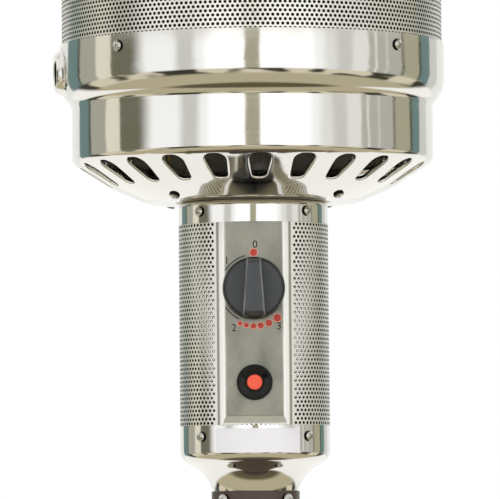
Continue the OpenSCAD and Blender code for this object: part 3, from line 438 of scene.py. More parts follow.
class Shell:
    """A sheet of revolution in coordinates s, along its profile, and a, round its axis."""

    def __init__(self, path, thickness, segments, lift):
        self.path, self.thickness, self.segments, self.lift = path, thickness, segments, lift
        self.sides = [-n for n in normals(path)]
        self.lengths = [0.0]
        for p, q in zip(path, path[1:]):
            self.lengths.append(self.lengths[-1] + (q - p).length)
        self.verts, self.faces, self.known, self.inner, self.dark = [], [], {}, [], []

    def profile(self, s):
        """Point and outward normal of the profile at s."""
        i = 1
        while i < len(self.path) - 1 and self.lengths[i] < s:
            i += 1
        t = (s - self.lengths[i - 1]) / (self.lengths[i] - self.lengths[i - 1])
        point = self.path[i - 1].lerp(self.path[i], t)
        return point, self.sides[i - 1].lerp(self.sides[i], t).normalized()

    def along(self, r):
        """The s at which the profile first reaches a radius."""
        for i in range(1, len(self.path)):
            p, q = self.path[i - 1], self.path[i]
            if p.x <= r <= q.x and q.x > p.x:
                return self.lengths[i - 1] + (self.lengths[i] - self.lengths[i - 1]) * (r - p.x) / (q.x - p.x)
        raise ValueError("the profile doesn't reach that radius")

    def vertex(self, s, a, depth):
        """A vertex at s and a, a depth below the outer face."""
        key = (round(s, 7), round(a % (2 * math.pi), 6) % 6.283185, round(depth, 7))
        if key not in self.known:
            point, side = self.profile(s)
            r, z = point + side * (self.lift(s, a) - depth)
            self.known[key] = len(self.verts)
            self.verts.append(turned(r, a, z))
        return self.known[key]

    def strip(self, first, second, inner=False):
        """Quads between two closed rings of vertices."""
        n = len(first)
        for i in range(n):
            k = (i + 1) % n
            self.add((first[i], first[k], second[k], second[i]), inner)

    def add(self, face, inner):
        if inner:
            self.inner.append(len(self.faces))
        self.faces.append(face)

    def grid(self, rows, skipped):
        """Both faces between rows of s, apart from the skipped (row, segment) cells, and the two rims."""
        step = 2 * math.pi / self.segments
        for j in range(len(rows) - 1):
            for i in range(self.segments):
                if (j, i) in skipped:
                    continue
                corners = ((j, i), (j, i + 1), (j + 1, i + 1), (j + 1, i))
                for depth in (0, self.thickness):
                    quad = [self.vertex(rows[row], column * step, depth) for row, column in corners]
                    self.add(quad if depth else quad[::-1], depth > 0)
        for s in (rows[0], rows[-1]):
            rims = [[self.vertex(s, i * step, depth) for i in range(self.segments)]
                    for depth in (0, self.thickness)]
            self.strip(*(rims if s == rows[0] else rims[::-1]))

    def window(self, rows, low, high, first, last, outline, layers, edge, lip, dark):
        """A hole with a turned-in lip, in the block of rows low to high and segments first to last.
        The outline is a closed list of (s, a) points, edge the lip's radius and lip its depth.
        A dark window's lip is painted dark as shade."""
        step = 2 * math.pi / self.segments
        border = [(rows[low], i * step) for i in range(first, last)]
        border += [(rows[j], last * step) for j in range(low, high)]
        border += [(rows[high], i * step) for i in range(last, first, -1)]
        border += [(rows[j], first * step) for j in range(high, low, -1)]
        radius = self.profile((rows[low] + rows[high]) / 2)[0].x
        hole = matched(outline, border, radius)
        middle = Vector((sum(p[0] for p in hole) / len(hole), sum(p[1] for p in hole) / len(hole)))

        def ring(offset, depth, share=0.0):
            found = []
            for (s, a), (border_s, border_a) in zip(hole, border):
                out = Vector((s - middle.x, (a - middle.y) * radius)).normalized() * offset
                s, a = s + out.x, a + out.y / radius
                found.append(self.vertex(s + (border_s - s) * share, a + (border_a - a) * share, depth))
            return found

        shares = [(i / layers) ** 1.4 for i in range(1, layers + 1)]
        front = [ring(edge, 0, share) for share in reversed(shares)]
        for turn in (0, 15, 30, 45, 60, 75, 90):
            angle = math.radians(turn)
            front.append(ring(edge * (1 - math.sin(angle)), edge * (1 - math.cos(angle))))
        wall = self.thickness * 0.8
        back = [ring(0, lip), ring(wall, lip), ring(wall + edge, self.thickness)]
        back += [ring(wall + edge, self.thickness, share) for share in shares]
        rings = front + back
        for i in range(len(rings) - 1):
            count = len(self.faces)
            self.strip(rings[i + 1], rings[i], i > len(front))
            if dark and i + 4 >= len(front):
                self.dark += range(count, len(self.faces))


def matched(outline, border, radius):
    """The outline resampled to one point for each point of a border round it, evenly along both."""
    def lengths(points):
        total = [0.0]
        for p, q in zip(points, points[1:] + points[:1]):
            total.append(total[-1] + math.hypot(q[0] - p[0], (q[1] - p[1]) * radius))
        return total

    corner = border[0]
    start = min(range(len(outline)), key=lambda i: math.hypot(
        outline[i][0] - corner[0], (outline[i][1] - corner[1]) * radius))
    outline = outline[start:] + outline[:start]
    way, border_way = lengths(outline), lengths(border)
    found, j = [], 0
    for i in range(len(border)):
        target = way[-1] * border_way[i] / border_way[-1]
        while way[j + 1] < target:
            j += 1
        t = (target - way[j]) / (way[j + 1] - way[j])
        p, q = outline[j], outline[(j + 1) % len(outline)]
        found.append((p[0] + (q[0] - p[0]) * t, p[1] + (q[1] - p[1]) * t))
    return found


DISH_FOOT = CAP_TOP + SEAT
DISH_HOLE_R = 32 * MM
DISH_FLAT_R = 73 * MM
DISH_SEAT_R = 53 * MM
DISH_SLOPE = math.tan(math.radians(23.3))
DISH_SCREW_R = 78 * MM
DISH_KNEE_R = 94 * MM
RIM_SLOPE = math.tan(math.radians(32.2))
ROLL_LOW = BOWL_RIM - 40.3 * MM
ROLL_HIGH = BOWL_RIM - 32.3 * MM
FOOT_BEND, KNEE_BEND, EDGE_BEND, ROLL_BENDS = 16 * MM, 80 * MM, 7 * MM, (9 * MM, 18 * MM)
SLOT_COUNT = 24
SLOT_R = (96 * MM, 119.5 * MM)
SLOT_W = (9 * MM, 16.5 * MM)
SLOT_CORNERS = (4 * MM, 6 * MM)
SLOT_EDGE = 1.3 * MM
SLOT_LIP = 3.2 * MM
SLOT_BLOCK_R = 91.5 * MM
SLOT_ROWS = (0, 3, 8, 13, 18, 23, 28, 32, 36)
PORT_BELOW_RIM = 19 * MM
PORT_ROWS = (-18.2, -12, -6, 0, 6, 12, 18.2)
PORT_COLUMNS = 16
PORT_EDGE = 0.6 * MM
PORT_LIP = 1.6 * MM
PORT_ANGLE = math.radians(186.5)
PORT_R = 8.5 * MM
PORT_CREST_R = 11.5 * MM
PORT_DIP = 0.8 * MM
PORT_RIM_R = 17 * MM
PORT_LIFT = 4.6 * MM
BAND_CROWN = 0.16 * MM
BOWL_SEGMENTS = 360


def dish_height(r):
    """Height of the dish's outer face on its inner slope."""
    return DISH_FOOT + (r - DISH_FLAT_R) * DISH_SLOPE


def bowl_path():
    """The outer profile, from the hole in the dish to the rim."""
    knee = dish_height(DISH_KNEE_R)
    edge = knee + (BAND_2_R - DISH_KNEE_R) * RIM_SLOPE
    return rounded([
        (DISH_HOLE_R, DISH_FOOT), (DISH_FLAT_R, DISH_FOOT, FOOT_BEND), (DISH_KNEE_R, knee, KNEE_BEND),
        (BAND_2_R, edge, EDGE_BEND), (BAND_2_R, ROLL_LOW, ROLL_BENDS[0]),
        (BAND_1_R, ROLL_HIGH, ROLL_BENDS[1]), (BAND_1_R, BOWL_RIM)], math.radians(2))


def slot_outline(shell, angle):
    """A rounded wedge in plan, as (s, a) points on the dish."""
    (r0, r1), (w0, w1), (c0, c1) = SLOT_R, SLOT_W, SLOT_CORNERS
    plan = rounded([
        (r0, 0), (r0, w0 / 2, c0), (r1, w1 / 2, c1), (r1, -w1 / 2, c1),
        (r0, -w0 / 2, c0), (r0, 0)], math.radians(9))[:-1]
    return [(shell.along(p.length), angle + math.atan2(p.y, p.x)) for p in plan]


def burner_bowl():
    """The bowl's bands and dish, with the slots, and the port's raised rim on the upper band."""
    path = bowl_path()
    port_s = None

    def lift(s, a):
        away = (a - PORT_ANGLE + math.pi) % (2 * math.pi) - math.pi
        d = math.hypot(s - port_s, away * BAND_1_R)
        t = min(1, max(0, (PORT_RIM_R - d) / (PORT_RIM_R - PORT_CREST_R)))
        dip = min(1, max(0, (PORT_CREST_R - d) / (PORT_CREST_R - PORT_R)))
        crown = sum(max(0, 1 - ((2 * s - low - high) / (high - low)) ** 2) for low, high in bands)
        return PORT_LIFT * t * t * (3 - 2 * t) - PORT_DIP * dip ** 2 + BAND_CROWN * crown

    shell = Shell(path, SHEET, BOWL_SEGMENTS, lift)
    bands = []
    for radius in (BAND_2_R, BAND_1_R):
        straight = [s for s, p in zip(shell.lengths, path) if abs(p.x - radius) < 0.002 * MM]
        bands.append((straight[0], straight[-1]))
    port_s = shell.lengths[-1] - PORT_BELOW_RIM
    slot_rows = [shell.along(SLOT_BLOCK_R) + d * MM for d in SLOT_ROWS]
    port_rows = [port_s + d * MM for d in PORT_ROWS]
    spans = [(slot_rows[0], slot_rows[-1]), (port_rows[0], port_rows[-1])]
    plain = [s for s in shell.lengths[:-1] if not any(low - MM < s < high + 0.5 * MM for low, high in spans)]
    low, high = bands[0]
    plain += [low + (high - low) * i / 8 for i in range(1, 8)] + [shell.along(DISH_SEAT_R)]
    rows = sorted(plain + slot_rows + port_rows + [shell.lengths[-1]])
    step = 2 * math.pi / BOWL_SEGMENTS
    skipped, windows = set(), []
    low, high = rows.index(slot_rows[0]), rows.index(slot_rows[-1])
    wide = BOWL_SEGMENTS // SLOT_COUNT
    for k in range(SLOT_COUNT):
        middle = 270 + wide * k
        first = middle - wide // 2
        outline = slot_outline(shell, (middle + 0.5) * step)
        windows.append((low, high, first, first + wide, outline, 4, SLOT_EDGE, SLOT_LIP, False))
    low, high = rows.index(port_rows[0]), rows.index(port_rows[-1])
    first = round(PORT_ANGLE / step) - PORT_COLUMNS // 2
    port = [(port_s - PORT_R * math.cos(t), PORT_ANGLE + PORT_R / BAND_1_R * math.sin(t))
            for t in (2 * math.pi * i / 96 for i in range(96))]
    windows.append((low, high, first, first + PORT_COLUMNS, port, 7, PORT_EDGE, PORT_LIP, True))
    for low, high, first, last, *_ in windows:
        skipped.update((j, i % BOWL_SEGMENTS) for j in range(low, high) for i in range(first, last))
    shell.grid(rows, skipped)
    for window in windows:
        shell.window(rows, *window)
    piece = make_piece("burner_bowl_shell", shell.verts, shell.faces, FINISHES["polished_steel"],
                       inner=FINISHES["bowl_inside_steel"], inner_faces=shell.inner)
    # Painted shade on the lighting port's lip
    piece.data.materials.append(PAINTED_SHADE)
    for i in shell.dark:
        piece.data.polygons[i].material_index = 2
    for face in piece.data.polygons:
        if face.center.xy.length < DISH_SEAT_R:
            face.material_index = 1
    piece.rotation_euler.z = BOWL_TURN - 0.5 * step
    return dress(piece, "polished_steel", "burner_bowl")


burner_bowl()


# Perforated sheets

PITCH = 3.3 * MM
ROW_STEP = PITCH * math.sqrt(3) / 2
HOLE_TURNS = [math.radians(30 + 60 * j) for j in range(6)]


class Perforation:
    """The flat pattern of a sheet with staggered six-sided holes, as (angle, height) points.
    Without a margin it is a ring that closes on itself, and with one a strip with plain ends,
    where the first and last columns of holes are filled."""

    def __init__(self, radius, low, high, columns, start, pitch, hole_r, margin=None, filled=0):
        self.radius, self.low, self.high, self.columns = radius, low, high, columns
        self.start, self.pitch, self.hole_r, self.margin = start, pitch, hole_r, margin
        self.count = round((high - low) / ROW_STEP)
        self.step = (high - low) / self.count
        self.flat, self.faces, self.known = [], [], {}
        self.rows()
        self.edges()
        if margin is not None:
            self.ends()
        for i in [*range(filled), *range(columns - filled, columns)]:
            self.faces += [self.outline(k, i) for k in range(self.count)]

    def point(self, key, angle, height):
        if key not in self.known:
            self.known[key] = len(self.flat)
            self.flat.append((angle, height))
        return self.known[key]

    def hole(self, k, i, j):
        """Corner j of hole i in row k."""
        if self.margin is None:
            i %= self.columns
        across, up = self.hole_r * math.cos(HOLE_TURNS[j]), self.hole_r * math.sin(HOLE_TURNS[j])
        angle = self.start + self.pitch * (i + 0.5 * (k % 2)) + across / self.radius
        return self.point((k, i, j), angle, self.low + self.step * (k + 0.5) + up)

    def outline(self, k, i):
        """The corners of hole i in row k."""
        return tuple(self.hole(k, i, j) for j in range(6))

    def edge(self, k, i):
        """A point on the edge beside the first or last row, i half pitches along."""
        if self.margin is None:
            i %= 2 * self.columns
        angle = self.start + self.pitch * (i + k % 2) / 2
        return self.point(("edge", k, i), angle, self.high if k else self.low)

    def floors(self):
        """The outline of every hole."""
        return [self.outline(k, i) for k in range(self.count) for i in range(self.columns)]

    def lining(self):
        """Plain quads from the lower to the upper edge, which close a ring's inner side."""
        edge, top = self.edge, self.count - 1
        shift = top % 2
        return [(edge(top, i), edge(top, i + 1), edge(0, i + 1 + shift), edge(0, i + shift))
                for i in range(2 * self.columns)]

    def end(self, right, k, share):
        """A point on a strip's left or right end, at a share of row k's height."""
        angle = self.start - self.margin
        if right:
            angle = self.start + self.pitch * (self.columns - 0.5) + self.margin
        return self.point(("end", right, k, share), angle, self.low + self.step * (k + share))

    def rows(self):
        """The webs between neighbouring holes."""
        hole, faces, ring = self.hole, self.faces, self.margin is None
        for k in range(self.count):
            for i in range(self.columns):
                beside = ring or i + 1 < self.columns
                if beside:
                    faces.append((hole(k, i, 5), hole(k, i + 1, 3), hole(k, i + 1, 2), hole(k, i, 0)))
                if k + 1 == self.count:
                    continue
                right, left = i + k % 2, i + k % 2 - 1
                has_right, has_left = ring or right < self.columns, ring or left >= 0
                if has_right:
                    faces.append((hole(k, i, 0), hole(k + 1, right, 4), hole(k + 1, right, 3), hole(k, i, 1)))
                if has_left:
                    faces.append((hole(k, i, 1), hole(k + 1, left, 5), hole(k + 1, left, 4), hole(k, i, 2)))
                if has_right and beside:
                    faces.append((hole(k, i, 0), hole(k, i + 1, 2), hole(k + 1, right, 4)))
                if has_right and has_left:
                    faces.append((hole(k, i, 1), hole(k + 1, right, 3), hole(k + 1, left, 5)))

    def edges(self):
        """The plain lower and upper edges."""
        for k, turns in ((0, (5, 4, 3)), (self.count - 1, (0, 1, 2))):
            for i in range(self.columns):
                a, b, c = (self.hole(k, i, j) for j in turns)
                before, here, after = (self.edge(k, 2 * i + d) for d in (-1, 0, 1))
                found = [(a, b, here, after), (b, c, before, here)]
                if self.margin is None or i + 1 < self.columns:
                    found.append((self.hole(k, i + 1, turns[2]), a, after))
                self.faces += [face[::-1] for face in found] if k else found

    def ends(self):
        """The plain margins at a strip's two ends."""
        hole, edge, faces = self.hole, self.edge, self.faces
        last, top = self.columns - 1, self.count - 1

        def left(k, share):
            return self.end(False, k, share)

        def right(k, share):
            return self.end(True, k, share)

        for k in range(self.count):
            faces += [(hole(k, 0, 3), hole(k, 0, 2), left(k, 0.75), left(k, 0.25)),
                      (hole(k, last, 5), right(k, 0.25), right(k, 0.75), hole(k, last, 0))]
            if k == top:
                continue
            near = hole(k + 1, 0, 4) if k % 2 else hole(k, 0, 1)
            far = hole(k, last, 1) if k % 2 else hole(k + 1, last, 4)
            faces += [(left(k, 0.75), hole(k, 0, 2), near, hole(k + 1, 0, 3), left(k + 1, 0.25)),
                      (right(k, 0.75), right(k + 1, 0.25), hole(k + 1, last, 5), far, hole(k, last, 0))]
        rim = 2 * last + 1
        faces += [(hole(0, 0, 3), left(0, 0.25), left(0, 0), edge(0, -1)),
                  (right(0, 0.25), hole(0, last, 5), edge(0, rim), right(0, 0)),
                  (left(top, 0.75), hole(top, 0, 2), edge(top, -1), left(top, 1)),
                  (hole(top, last, 0), right(top, 0.75), right(top, 1), edge(top, rim))]


def sheet_piece(name, pattern, thickness, finish, pocket=None):
    """Rolls a pattern into a closed sheet with a wall round every hole and edge.
    With a pocket depth the holes have floors that deep, and the sheet's inner side is plain; it, the floors
    and the walls are painted dark as shade."""
    count, faces = len(pattern.flat), pattern.faces
    depths = [thickness] * count
    if pocket:
        for outline in pattern.floors():
            for v in outline:
                depths[v] = pocket
    verts = []
    for layer in ([0] * count, depths):
        for (angle, z), depth in zip(pattern.flat, layer):
            verts.append(turned(pattern.radius - depth, angle, z))
    directed = {(face[i], face[(i + 1) % len(face)]) for face in faces for i in range(len(face))}
    walls = sorted((b, a, a + count, b + count) for a, b in directed if (b, a) not in directed)
    behind = pattern.floors() + pattern.lining() if pocket else [face[::-1] for face in faces]
    back = [tuple(v + count for v in face) for face in behind]
    inner = range(len(faces), len(faces) + len(back) + len(walls))
    faces = faces + back + walls
    # The inner faces take painted shade
    return make_piece(name, verts, faces, FINISHES[finish], inner=PAINTED_SHADE, inner_faces=inner)


SCREEN_RINGS = 4
SCREEN_COLUMNS = round(2 * math.pi * SCREEN_R / PITCH)
SCREEN_LOW = BOWL_RIM - 1.5 * MM
SCREEN_SHEET = 0.8 * MM
SCREEN_POCKET = 0.7 * MM
SCREEN_HOLE_R = 1.2 * MM
WRAP_HOLE_R = 1.12 * MM
ring_height = (SCREEN_TOP - SCREEN_LOW) / SCREEN_RINGS
for number in range(SCREEN_RINGS):
    foot = SCREEN_LOW + ring_height * number
    pattern = Perforation(
        SCREEN_R, foot, foot + ring_height, SCREEN_COLUMNS, 0, 2 * math.pi / SCREEN_COLUMNS, SCREEN_HOLE_R)
    name = f"emitter_screen_ring_{number + 1}"
    ring = sheet_piece(name, pattern, SCREEN_SHEET, "perforated_steel", SCREEN_POCKET)
    dress(ring, "polished_steel", "emitter_screen")

# The wrap is plain for a few millimetres beside the panel and open behind it
panel_edge = math.asin(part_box("control_panel")[1].x / HOUSING_R)
wrap_pitch = PITCH / HOUSING_R
wrap_columns = math.floor((2 * math.pi - 2 * panel_edge) / wrap_pitch) + 1
wrap_start = math.pi * 3 / 2 - wrap_pitch * (wrap_columns - 0.5) / 2 - math.pi
pattern = Perforation(
    HOUSING_R, WRAP_LOW, WRAP_HIGH, wrap_columns, wrap_start, wrap_pitch, WRAP_HOLE_R, wrap_pitch, 1)
wrap = sheet_piece("housing_wrap_sheet", pattern, SHEET, "wrap_steel")
dress(wrap, "polished_steel", "housing_wrap")


# Screw heads with a cross recess

def screw_heads(node, places, head_r, head_h, shank):
    """Domed heads on short shanks, at matrices whose Z axis points out of the sheet.
    The ring round each head is painted dark as shade. Sizes are in millimetres."""
    head_r, head_h, shank = head_r * MM, head_h * MM, shank * MM
    rings, turns = 14, 64
    shank_r, recess_d, arm_w, arm_l = 2 * MM, 0.8 * MM, 0.36 * MM, 0.5 * head_r
    angles = [2 * math.pi * (j + 0.5) / turns for j in range(turns)]
    verts, faces, seams = [], [], []
    for place in places:
        base = len(verts)
        local = [(0, 0, head_h - recess_d)]
        for i in range(1, rings + 1):
            share = i / rings
            dome = head_h * (0.2 + 0.8 * math.sqrt(1 - share ** 2))
            for angle in angles:
                x, y, z = turned(head_r * share, angle, dome)
                arm = max(min(abs(x), abs(y)) / arm_w, max(abs(x), abs(y)) / arm_l)
                local.append((x, y, z - recess_d * min(1, max(0, 3 - 2.6 * arm))))
        for r, z in ((head_r, 0), (shank_r, 0), (shank_r, -shank)):
            local += [turned(r, angle, z) for angle in angles]
        local.append((0, 0, -shank))
        verts += [tuple(place @ Vector(v)) for v in local]
        for j in range(turns):
            k = (j + 1) % turns
            faces.append((base, base + 1 + j, base + 1 + k))
            for i in range(rings + 2):
                low, high = base + 1 + i * turns, base + 1 + (i + 1) * turns
                # Painted shade on the dome's outer band and everything below it
                if i + 3 > rings:
                    seams.append(len(faces))
                faces.append((low + j, high + j, high + k, low + k))
            tail = base + 1 + (rings + 2) * turns
            faces.append((tail + k, tail + j, base + len(local) - 1))
    name = node.removesuffix("s") + "_heads"
    piece = make_piece(name, verts, faces, FINISHES["fastener_steel"], 40, PAINTED_SHADE, seams)
    dress(piece, "fastener_steel", node)


def outward(angle, radius, height, tilt=0.0, roll=0.0):
    """A place on a round wall, its Z axis outward and tilted down by an angle."""
    return (Matrix.Rotation(math.radians(angle), 4, "Z") @ Matrix.Translation((radius, 0, height))
            @ Matrix.Rotation(math.pi / 2 + tilt, 4, "Y") @ Matrix.Rotation(math.radians(roll), 4, "Z"))


QUARTERS = (45, 135, 225, 315)
bowl_degrees = math.degrees(BOWL_TURN)
HOUSING_SCREW_Z = (POLE_TOP + 37 * MM, (WRAP_HIGH + CAP_TOP) / 2)
BAND_SCREW_Z = BOWL_RIM - 8 * MM
DISH_SCREW_Z = dish_height(DISH_SCREW_R) - SEAT
POLE_BOLT_Z = POLE_TOP - 6 * MM
dish_tilt = math.pi / 2 - math.atan(DISH_SLOPE)
screw_heads("housing_screws", [
    outward(a, HOUSING_R + SEAT, z, roll=a * 0.7) for a in QUARTERS for z in HOUSING_SCREW_Z], 3.6, 2.5, 7)
screw_heads("band_screws", [
    outward(a + bowl_degrees, BAND_1_R + SEAT, BAND_SCREW_Z, roll=a * 0.4) for a in QUARTERS], 4, 2.7, 6)
screw_heads("dish_screws", [
    outward(a + bowl_degrees, DISH_SCREW_R, DISH_SCREW_Z, dish_tilt, a) for a in QUARTERS], 3.6, 2.5, 5)
screw_heads("pole_bolts", [
    outward(a, POLE_R + SEAT, POLE_BOLT_Z, roll=a * 0.3) for a in QUARTERS], 4.6, 3, 5)


# Control knob: a hollow skirt with a raised grip that narrows upward

KNOB_SKIRT = 10 * MM
HUB_WALL, RIM_WALL, HOLLOW_ROOF, BORE_ROOF = 2.1 * MM, 2.5 * MM, 3 * MM, 2 * MM
SKIRT_DRAFT, SKIRT_EDGE = 0.8 * MM, 1.5 * MM
GRIP_HALF = (7.6 * MM, 4.8 * MM)
GRIP_EDGE = 1.1 * MM
GRIP_END = 4 * MM
GRIP_INSET, GRIP_SPARE = 1.4 * MM, 0.6 * MM
GRIP_FOOT = (0.5 * MM, -0.3 * MM)


def knob_grip(reach, height):
    """The grip, as (across, up, out) points from the skirt's face, its faces and which are its edges."""
    rows, verts = 64, []
    arc = [math.radians(15 * i) for i in range(7)]
    for i in range(rows + 1):
        up = reach * math.sin(math.pi * (i / rows - 0.5))
        share = (up / reach + 1) / 2
        half = GRIP_HALF[0] + (GRIP_HALF[1] - GRIP_HALF[0]) * share
        half = min(half, math.sqrt(max(0, (reach + GRIP_SPARE) ** 2 - up ** 2)))
        drop = max(0, 1 - (reach - abs(up)) / GRIP_END)
        out = height * (1 - drop ** 2.5)
        edge = min(GRIP_EDGE, half / 2, max(out, 0.02 * MM))
        side = [(half - edge + edge * math.cos(t), out - edge + edge * math.sin(t)) for t in arc]
        section = [(half + GRIP_FOOT[0], GRIP_FOOT[1]), *side, (0, out)]
        section += [(-across, level) for across, level in reversed(section[:-1])]
        verts += [(across, up, level) for across, level in reversed(section)]
    n = len(section)
    curved = [*range(1, len(arc)), *range(n - 1 - len(arc), n - 2)]
    return verts, loft(rows + 1, n), [i * n + j for i in range(rows) for j in curved]


def control_knob():
    """The knob's moulding, turned to face -Y, with painted highlights along its grip's edges."""
    low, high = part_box("control_knob")
    stem_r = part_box("valve_stem")[1].x + SEAT
    hub_r, wall_r, hollow = stem_r + HUB_WALL, high.x - RIM_WALL, KNOB_SKIRT - HOLLOW_ROOF
    bore = KNOB_SKIRT - BORE_ROOF + SEAT
    skirt = spin(rounded([
        (0, bore), (stem_r, bore), (stem_r, 0), (hub_r, 0), (hub_r, hollow), (wall_r, hollow), (wall_r, 0),
        (high.x, 0), (high.x - SKIRT_DRAFT, KNOB_SKIRT, SKIRT_EDGE), (0, KNOB_SKIRT)]), 128, closed=False)
    grip, sides, edges = knob_grip(high.x - GRIP_INSET, high.y - low.y - KNOB_SKIRT)
    verts, faces = join(skirt, ([(across, up, KNOB_SKIRT + out) for across, up, out in grip], sides))
    verts = [(across, high.y - out, KNOB_Z + up) for across, up, out in verts]
    piece = make_piece("control_knob_moulding", verts, faces, FINISHES["knob_plastic"],
                       inner=FINISHES["painted_knob_edge_highlight"], inner_faces=[len(skirt[1]) + i for i in edges])
    dress(piece, "knob_plastic", "control_knob", body="knob")


control_knob()


# Return springs for the knob and the button

def return_spring(node, turns, wire_r):
    """A wound wire in a node's place, along Y."""
    low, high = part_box(node)
    coil_r, length, middle = high.x - wire_r, high.y - low.y, (low.z + high.z) / 2
    steps, sides = 40, 12
    rings, verts = turns * steps, []
    for i in range(rings + 1):
        turn = 2 * math.pi * i / steps
        y = high.y - wire_r - (length - 2 * wire_r) * i / rings
        for j in range(sides):
            angle = 2 * math.pi * j / sides
            r = coil_r + wire_r * math.cos(angle)
            verts.append((r * math.cos(turn), y + wire_r * math.sin(angle), middle + r * math.sin(turn)))
    piece = make_piece(f"{node}_coil", verts, loft(rings + 1, sides), FINISHES["fastener_steel"])
    dress(piece, "fastener_steel", node)
    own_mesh(piece)


return_spring("stem_spring", 5, 0.5 * MM)
return_spring("igniter_spring", 7, 0.4 * MM)


# Dial marks and the blank label

def flat_marks(name, outlines, finish, slot, height):
    """Thin printed plates on the panel's face, from outlines of (x, z) points."""
    plates = []
    for outline in outlines:
        verts = [(x, y, z) for y in (PANEL_FACE + 0.02 * MM, PANEL_FACE - height) for x, z in outline]
        plates.append((verts, loft(2, len(outline))))
    verts, faces = join(*plates)
    return dress(make_piece(name, verts, faces, FINISHES[finish]), slot)


def disc(x, z, r):
    """The outline of a round dot."""
    steps = [2 * math.pi * i / 40 for i in range(40)]
    return [(x + r * math.cos(t), z + r * math.sin(t)) for t in steps]


# Angles round the knob, clockwise from the top, distances from its axis and dots' radii, in millimetres
DIAL_DOTS = ((0, 24.2, 2.4), (202, 25.3, 1.4), (192, 25.3, 1.6), (181, 25.3, 1.8), (170, 25.3, 2.0),
             (157, 25.3, 2.2), (142, 25.3, 2.5))
DIAL_ARCS = ((-14, -57), (-123, -154))
DIAL_NUMBERS = (("0", 2, 29.5), ("1", -44, 26), ("2", 207, 29.8), ("3", 147, 30.5))
NUMBER_SIZE = 7 * MM
ARC_R, ARC_W = 22.4 * MM, 0.7 * MM


def dial_place(angle, radius):
    """A point on the panel's face as (x, z), at an angle round the knob."""
    turn = math.radians(angle)
    return radius * math.sin(turn), KNOB_Z + radius * math.cos(turn)


def dial_arc(first, last):
    """The outline of a thin arc round the knob."""
    steps = [first + (last - first) * i / 40 for i in range(41)]
    return [dial_place(a, ARC_R + ARC_W) for a in reversed(steps)] + [dial_place(a, ARC_R) for a in steps]


def numeral(text, angle, radius):
    """A number printed on the panel, upright, at an angle round the knob."""
    curve = bpy.data.curves.new("numeral", "FONT")
    curve.body, curve.size, curve.extrude = text, NUMBER_SIZE, 0.04 * MM
    curve.align_x, curve.align_y = "CENTER", "CENTER"
    holder = bpy.data.objects.new("numeral", curve)
    bpy.context.scene.collection.objects.link(holder)
    mesh = bpy.data.meshes.new_from_object(holder.evaluated_get(bpy.context.evaluated_depsgraph_get()))
    bpy.data.objects.remove(holder)
    mesh.name = f"dial_number_{text}"
    mesh.materials.append(FINISHES["black_plastic"])
    piece = bpy.data.objects.new(mesh.name, mesh)
    x, z = dial_place(angle, radius)
    piece.location = (x, PANEL_FACE - 0.03 * MM, z)
    piece.rotation_euler.x = math.pi / 2
    bpy.context.scene.collection.objects.link(piece)
    dress(piece, "black_plastic")


for name, border, ink, height in (("dial_halos", 0.4, "halo_ink", 0.05), ("dial_dots", 0, "dial_ink", 0.08)):
    marks = [disc(*dial_place(a, d * MM), (r + border) * MM) for a, d, r in DIAL_DOTS]
    # Left out of reflections, so that the dish above shows no red
    flat_marks(name, marks, ink, "red_plastic", height * MM).visible_glossy = False
flat_marks("dial_arc", [dial_arc(first, last) for first, last in DIAL_ARCS],
           "black_plastic", "black_plastic", 0.06 * MM)
for text, angle, distance in DIAL_NUMBERS:
    numeral(text, angle, distance * MM)


def label():
    """A blank label bent round the neck cup under the panel."""
    low, high = POLE_TOP + 26 * MM, POLE_TOP + 42.4 * MM
    front, back = HOUSING_R + 0.12 * MM, HOUSING_R + 0.02 * MM
    middle, half = math.radians(2.4) - math.pi / 2, math.radians(33.5)
    count, verts = 48, []
    for i in range(count + 1):
        angle = middle - half + 2 * half * i / count
        verts += [turned(r, angle, z) for r, z in ((front, high), (front, low), (back, low), (back, high))]
    piece = make_piece("blank_label", verts, loft(count + 1, 4), FINISHES["label_paper"])
    dress(piece, "electrode_ceramic")


label()


# Studio

STAGE_WHITE = tone(255, 255, 255)
STEEL_SHARE = 0.74


def screen(red, green, blue):
    """A screen that shows as this tone in polished steel, which gives back a share of its light."""
    return (*(value / STEEL_SHARE for value in tone(red, green, blue)[:3]), 1)


WHITE_BOX = (1.5, 1.5, 1.5, 1)
SOFT_BOX = screen(242, 242, 242)
PALE = screen(220, 220, 217)
GREY = screen(196, 196, 192)
DIM = screen(172, 171, 162)
TEAL = screen(104, 126, 124)
MOSS = screen(84, 90, 76)
BEIGE = screen(160, 159, 147)
CREAM = screen(216, 211, 195)
OLIVE = screen(105, 104, 88)
SAND = screen(162, 158, 136)
# Azimuths in degrees from the camera's side, negative to its left, with what stands from there on.
# A third number says how softly it starts, and HARD_EDGE stands for a missing one
HARD_EDGE = 0.8
STUDIO = [
    (-180, PALE), (-144, TEAL), (-128, MOSS), (-125, BEIGE), (-107, CREAM), (-93, OLIVE), (-71, SOFT_BOX, 7),
    (-46, GREY, 3), (-34, SOFT_BOX, 3), (-27, WHITE_BOX, 3), (-4.5, SAND), (5, WHITE_BOX), (37, SOFT_BOX, 3),
    (44, PALE, 3), (52, GREY, 3), (62, PALE, 2), (73, DIM, 1.2), (78, PALE), (80, DIM), (87, GREY), (89, DIM),
    (101, OLIVE), (103, SAND), (119, MOSS), (122, TEAL), (133, GREY), (146, PALE)]


